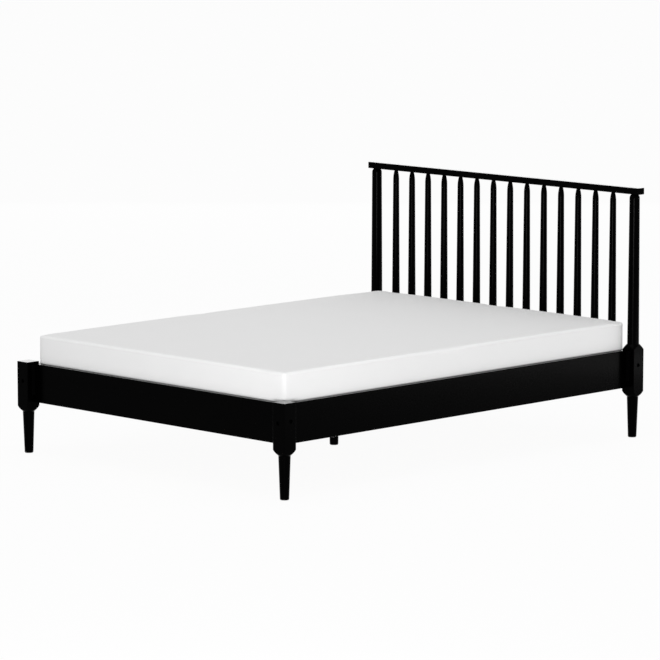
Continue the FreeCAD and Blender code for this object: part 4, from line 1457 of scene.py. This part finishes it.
@dataclass
class Studio:
    """A pale floor, a white surround, four softboxes and the photograph's camera."""

    floor_half: float = 40.0
    floor_pale: Colour = (0.8, 0.8, 0.8)
    floor_paler: Colour = (0.83, 0.83, 0.83)
    floor_patch_scale: float = 3
    floor_glow: float = 0.95
    surround: float = 0.6
    lens: float = 218.70
    sight: float = 200
    camera_place: Place = (11.1544, -11.1684, 2.7175)
    camera_yaw: float = 45.0221
    camera_pitch: float = 8.1335
    softboxes: tuple[Softbox, ...] = (
        Softbox("front", (3.72, -4.28, 0.28), (0.0, 0.0, 0.35), size=0.9, power=103, tall=0.5),
        Softbox("overhead", (0.6, -0.6, 5.5), (0.0, 0.0, 0.0), size=3.0, power=56),
        Softbox("right", (2.3, 1.9, 0.05), (0.98, 0.4, 0.05), size=2.4, power=6.6, tall=0.036),
        Softbox("behind", (-6.0, 6.0, 1.9), (0.0, 0.0, 0.4), size=5.0, power=36, tall=0.7),
    )

    def build(self) -> None:
        """Set up everything that isn't the bed."""
        self._floor()
        self._world()
        for softbox in self.softboxes:
            softbox.build()
        self._camera()
        bpy.context.scene.view_settings.view_transform = "Standard"
        LOG.info("studio: floor, surround, camera and %d softboxes", len(self.softboxes))

    def _floor(self) -> None:
        """A floor that shows white, and keeps the bed's shadow."""
        work = bmesh.new()
        bmesh.ops.create_grid(work, x_segments=1, y_segments=1, size=self.floor_half)
        floor = link("floor", mesh_from("floor", work, smooth=False))
        material = bpy.data.materials.new("pale_floor")
        material.use_nodes = True
        graph = Graph(material.node_tree)
        patches = graph.noise(self.floor_patch_scale, detail=2)
        pale = graph.blend(patches, self.floor_pale, self.floor_paler)
        matt = graph.wire("ShaderNodeBsdfDiffuse", {}, {"Color": pale})
        glow = graph.wire("ShaderNodeEmission", {}, {"Color": WHITE, "Strength": 1.0})
        inputs = {0: self._seen(graph) * self.floor_glow, 1: matt, 2: glow}
        both = graph.wire("ShaderNodeMixShader", {}, inputs)
        graph.add("ShaderNodeOutputMaterial", {}, {"Surface": both})
        floor.data.materials.append(material)

    @staticmethod
    def _seen(graph: Graph) -> Wire:
        """1 for what the camera sees, straight, mirrored or through glass.

        Args:
            graph: the tree that asks.

        Returns:
            1 for such a ray, and 0 for any other.
        """
        path = graph.add("ShaderNodeLightPath")
        kinds = ("Is Camera Ray", "Is Glossy Ray", "Is Transmission Ray")
        rays = [Wire(graph, path.outputs[kind]) for kind in kinds]
        return rays[0].or_above(rays[1]).or_above(rays[2])

    def _world(self) -> None:
        """A white surround that lights the bed softly."""
        world = bpy.data.worlds.new("surround")
        bpy.context.scene.world = world
        world.use_nodes = True
        graph = Graph(world.node_tree)
        seen = self._seen(graph)
        strength = seen + self.surround * (1 - seen)
        sky = graph.wire("ShaderNodeBackground", {}, {"Color": WHITE, "Strength": strength})
        graph.add("ShaderNodeOutputWorld", {}, {"Surface": sky})

    def _camera(self) -> None:
        """The photograph's camera."""
        camera = bpy.data.cameras.new("camera")
        camera.lens = self.lens
        camera.clip_end = self.sight
        holder = link("camera", camera)
        holder.location = self.camera_place
        pitch, yaw = math.radians(90 - self.camera_pitch), math.radians(self.camera_yaw)
        holder.rotation_euler = (pitch, 0, yaw)
        bpy.context.scene.camera = holder


def main() -> None:
    """Dress the bed and set up the studio."""
    logging.basicConfig(level=logging.INFO, format="%(name)s: %(message)s")
    Studio().build()
    LacqueredFrame().dress()
    hardware = Hardware()
    hardware.dress()
    hardware.build()
    base = SlatBase()
    base.dress()
    base.build()
    Mattress().build()


if __name__ == "__main__":
    main()
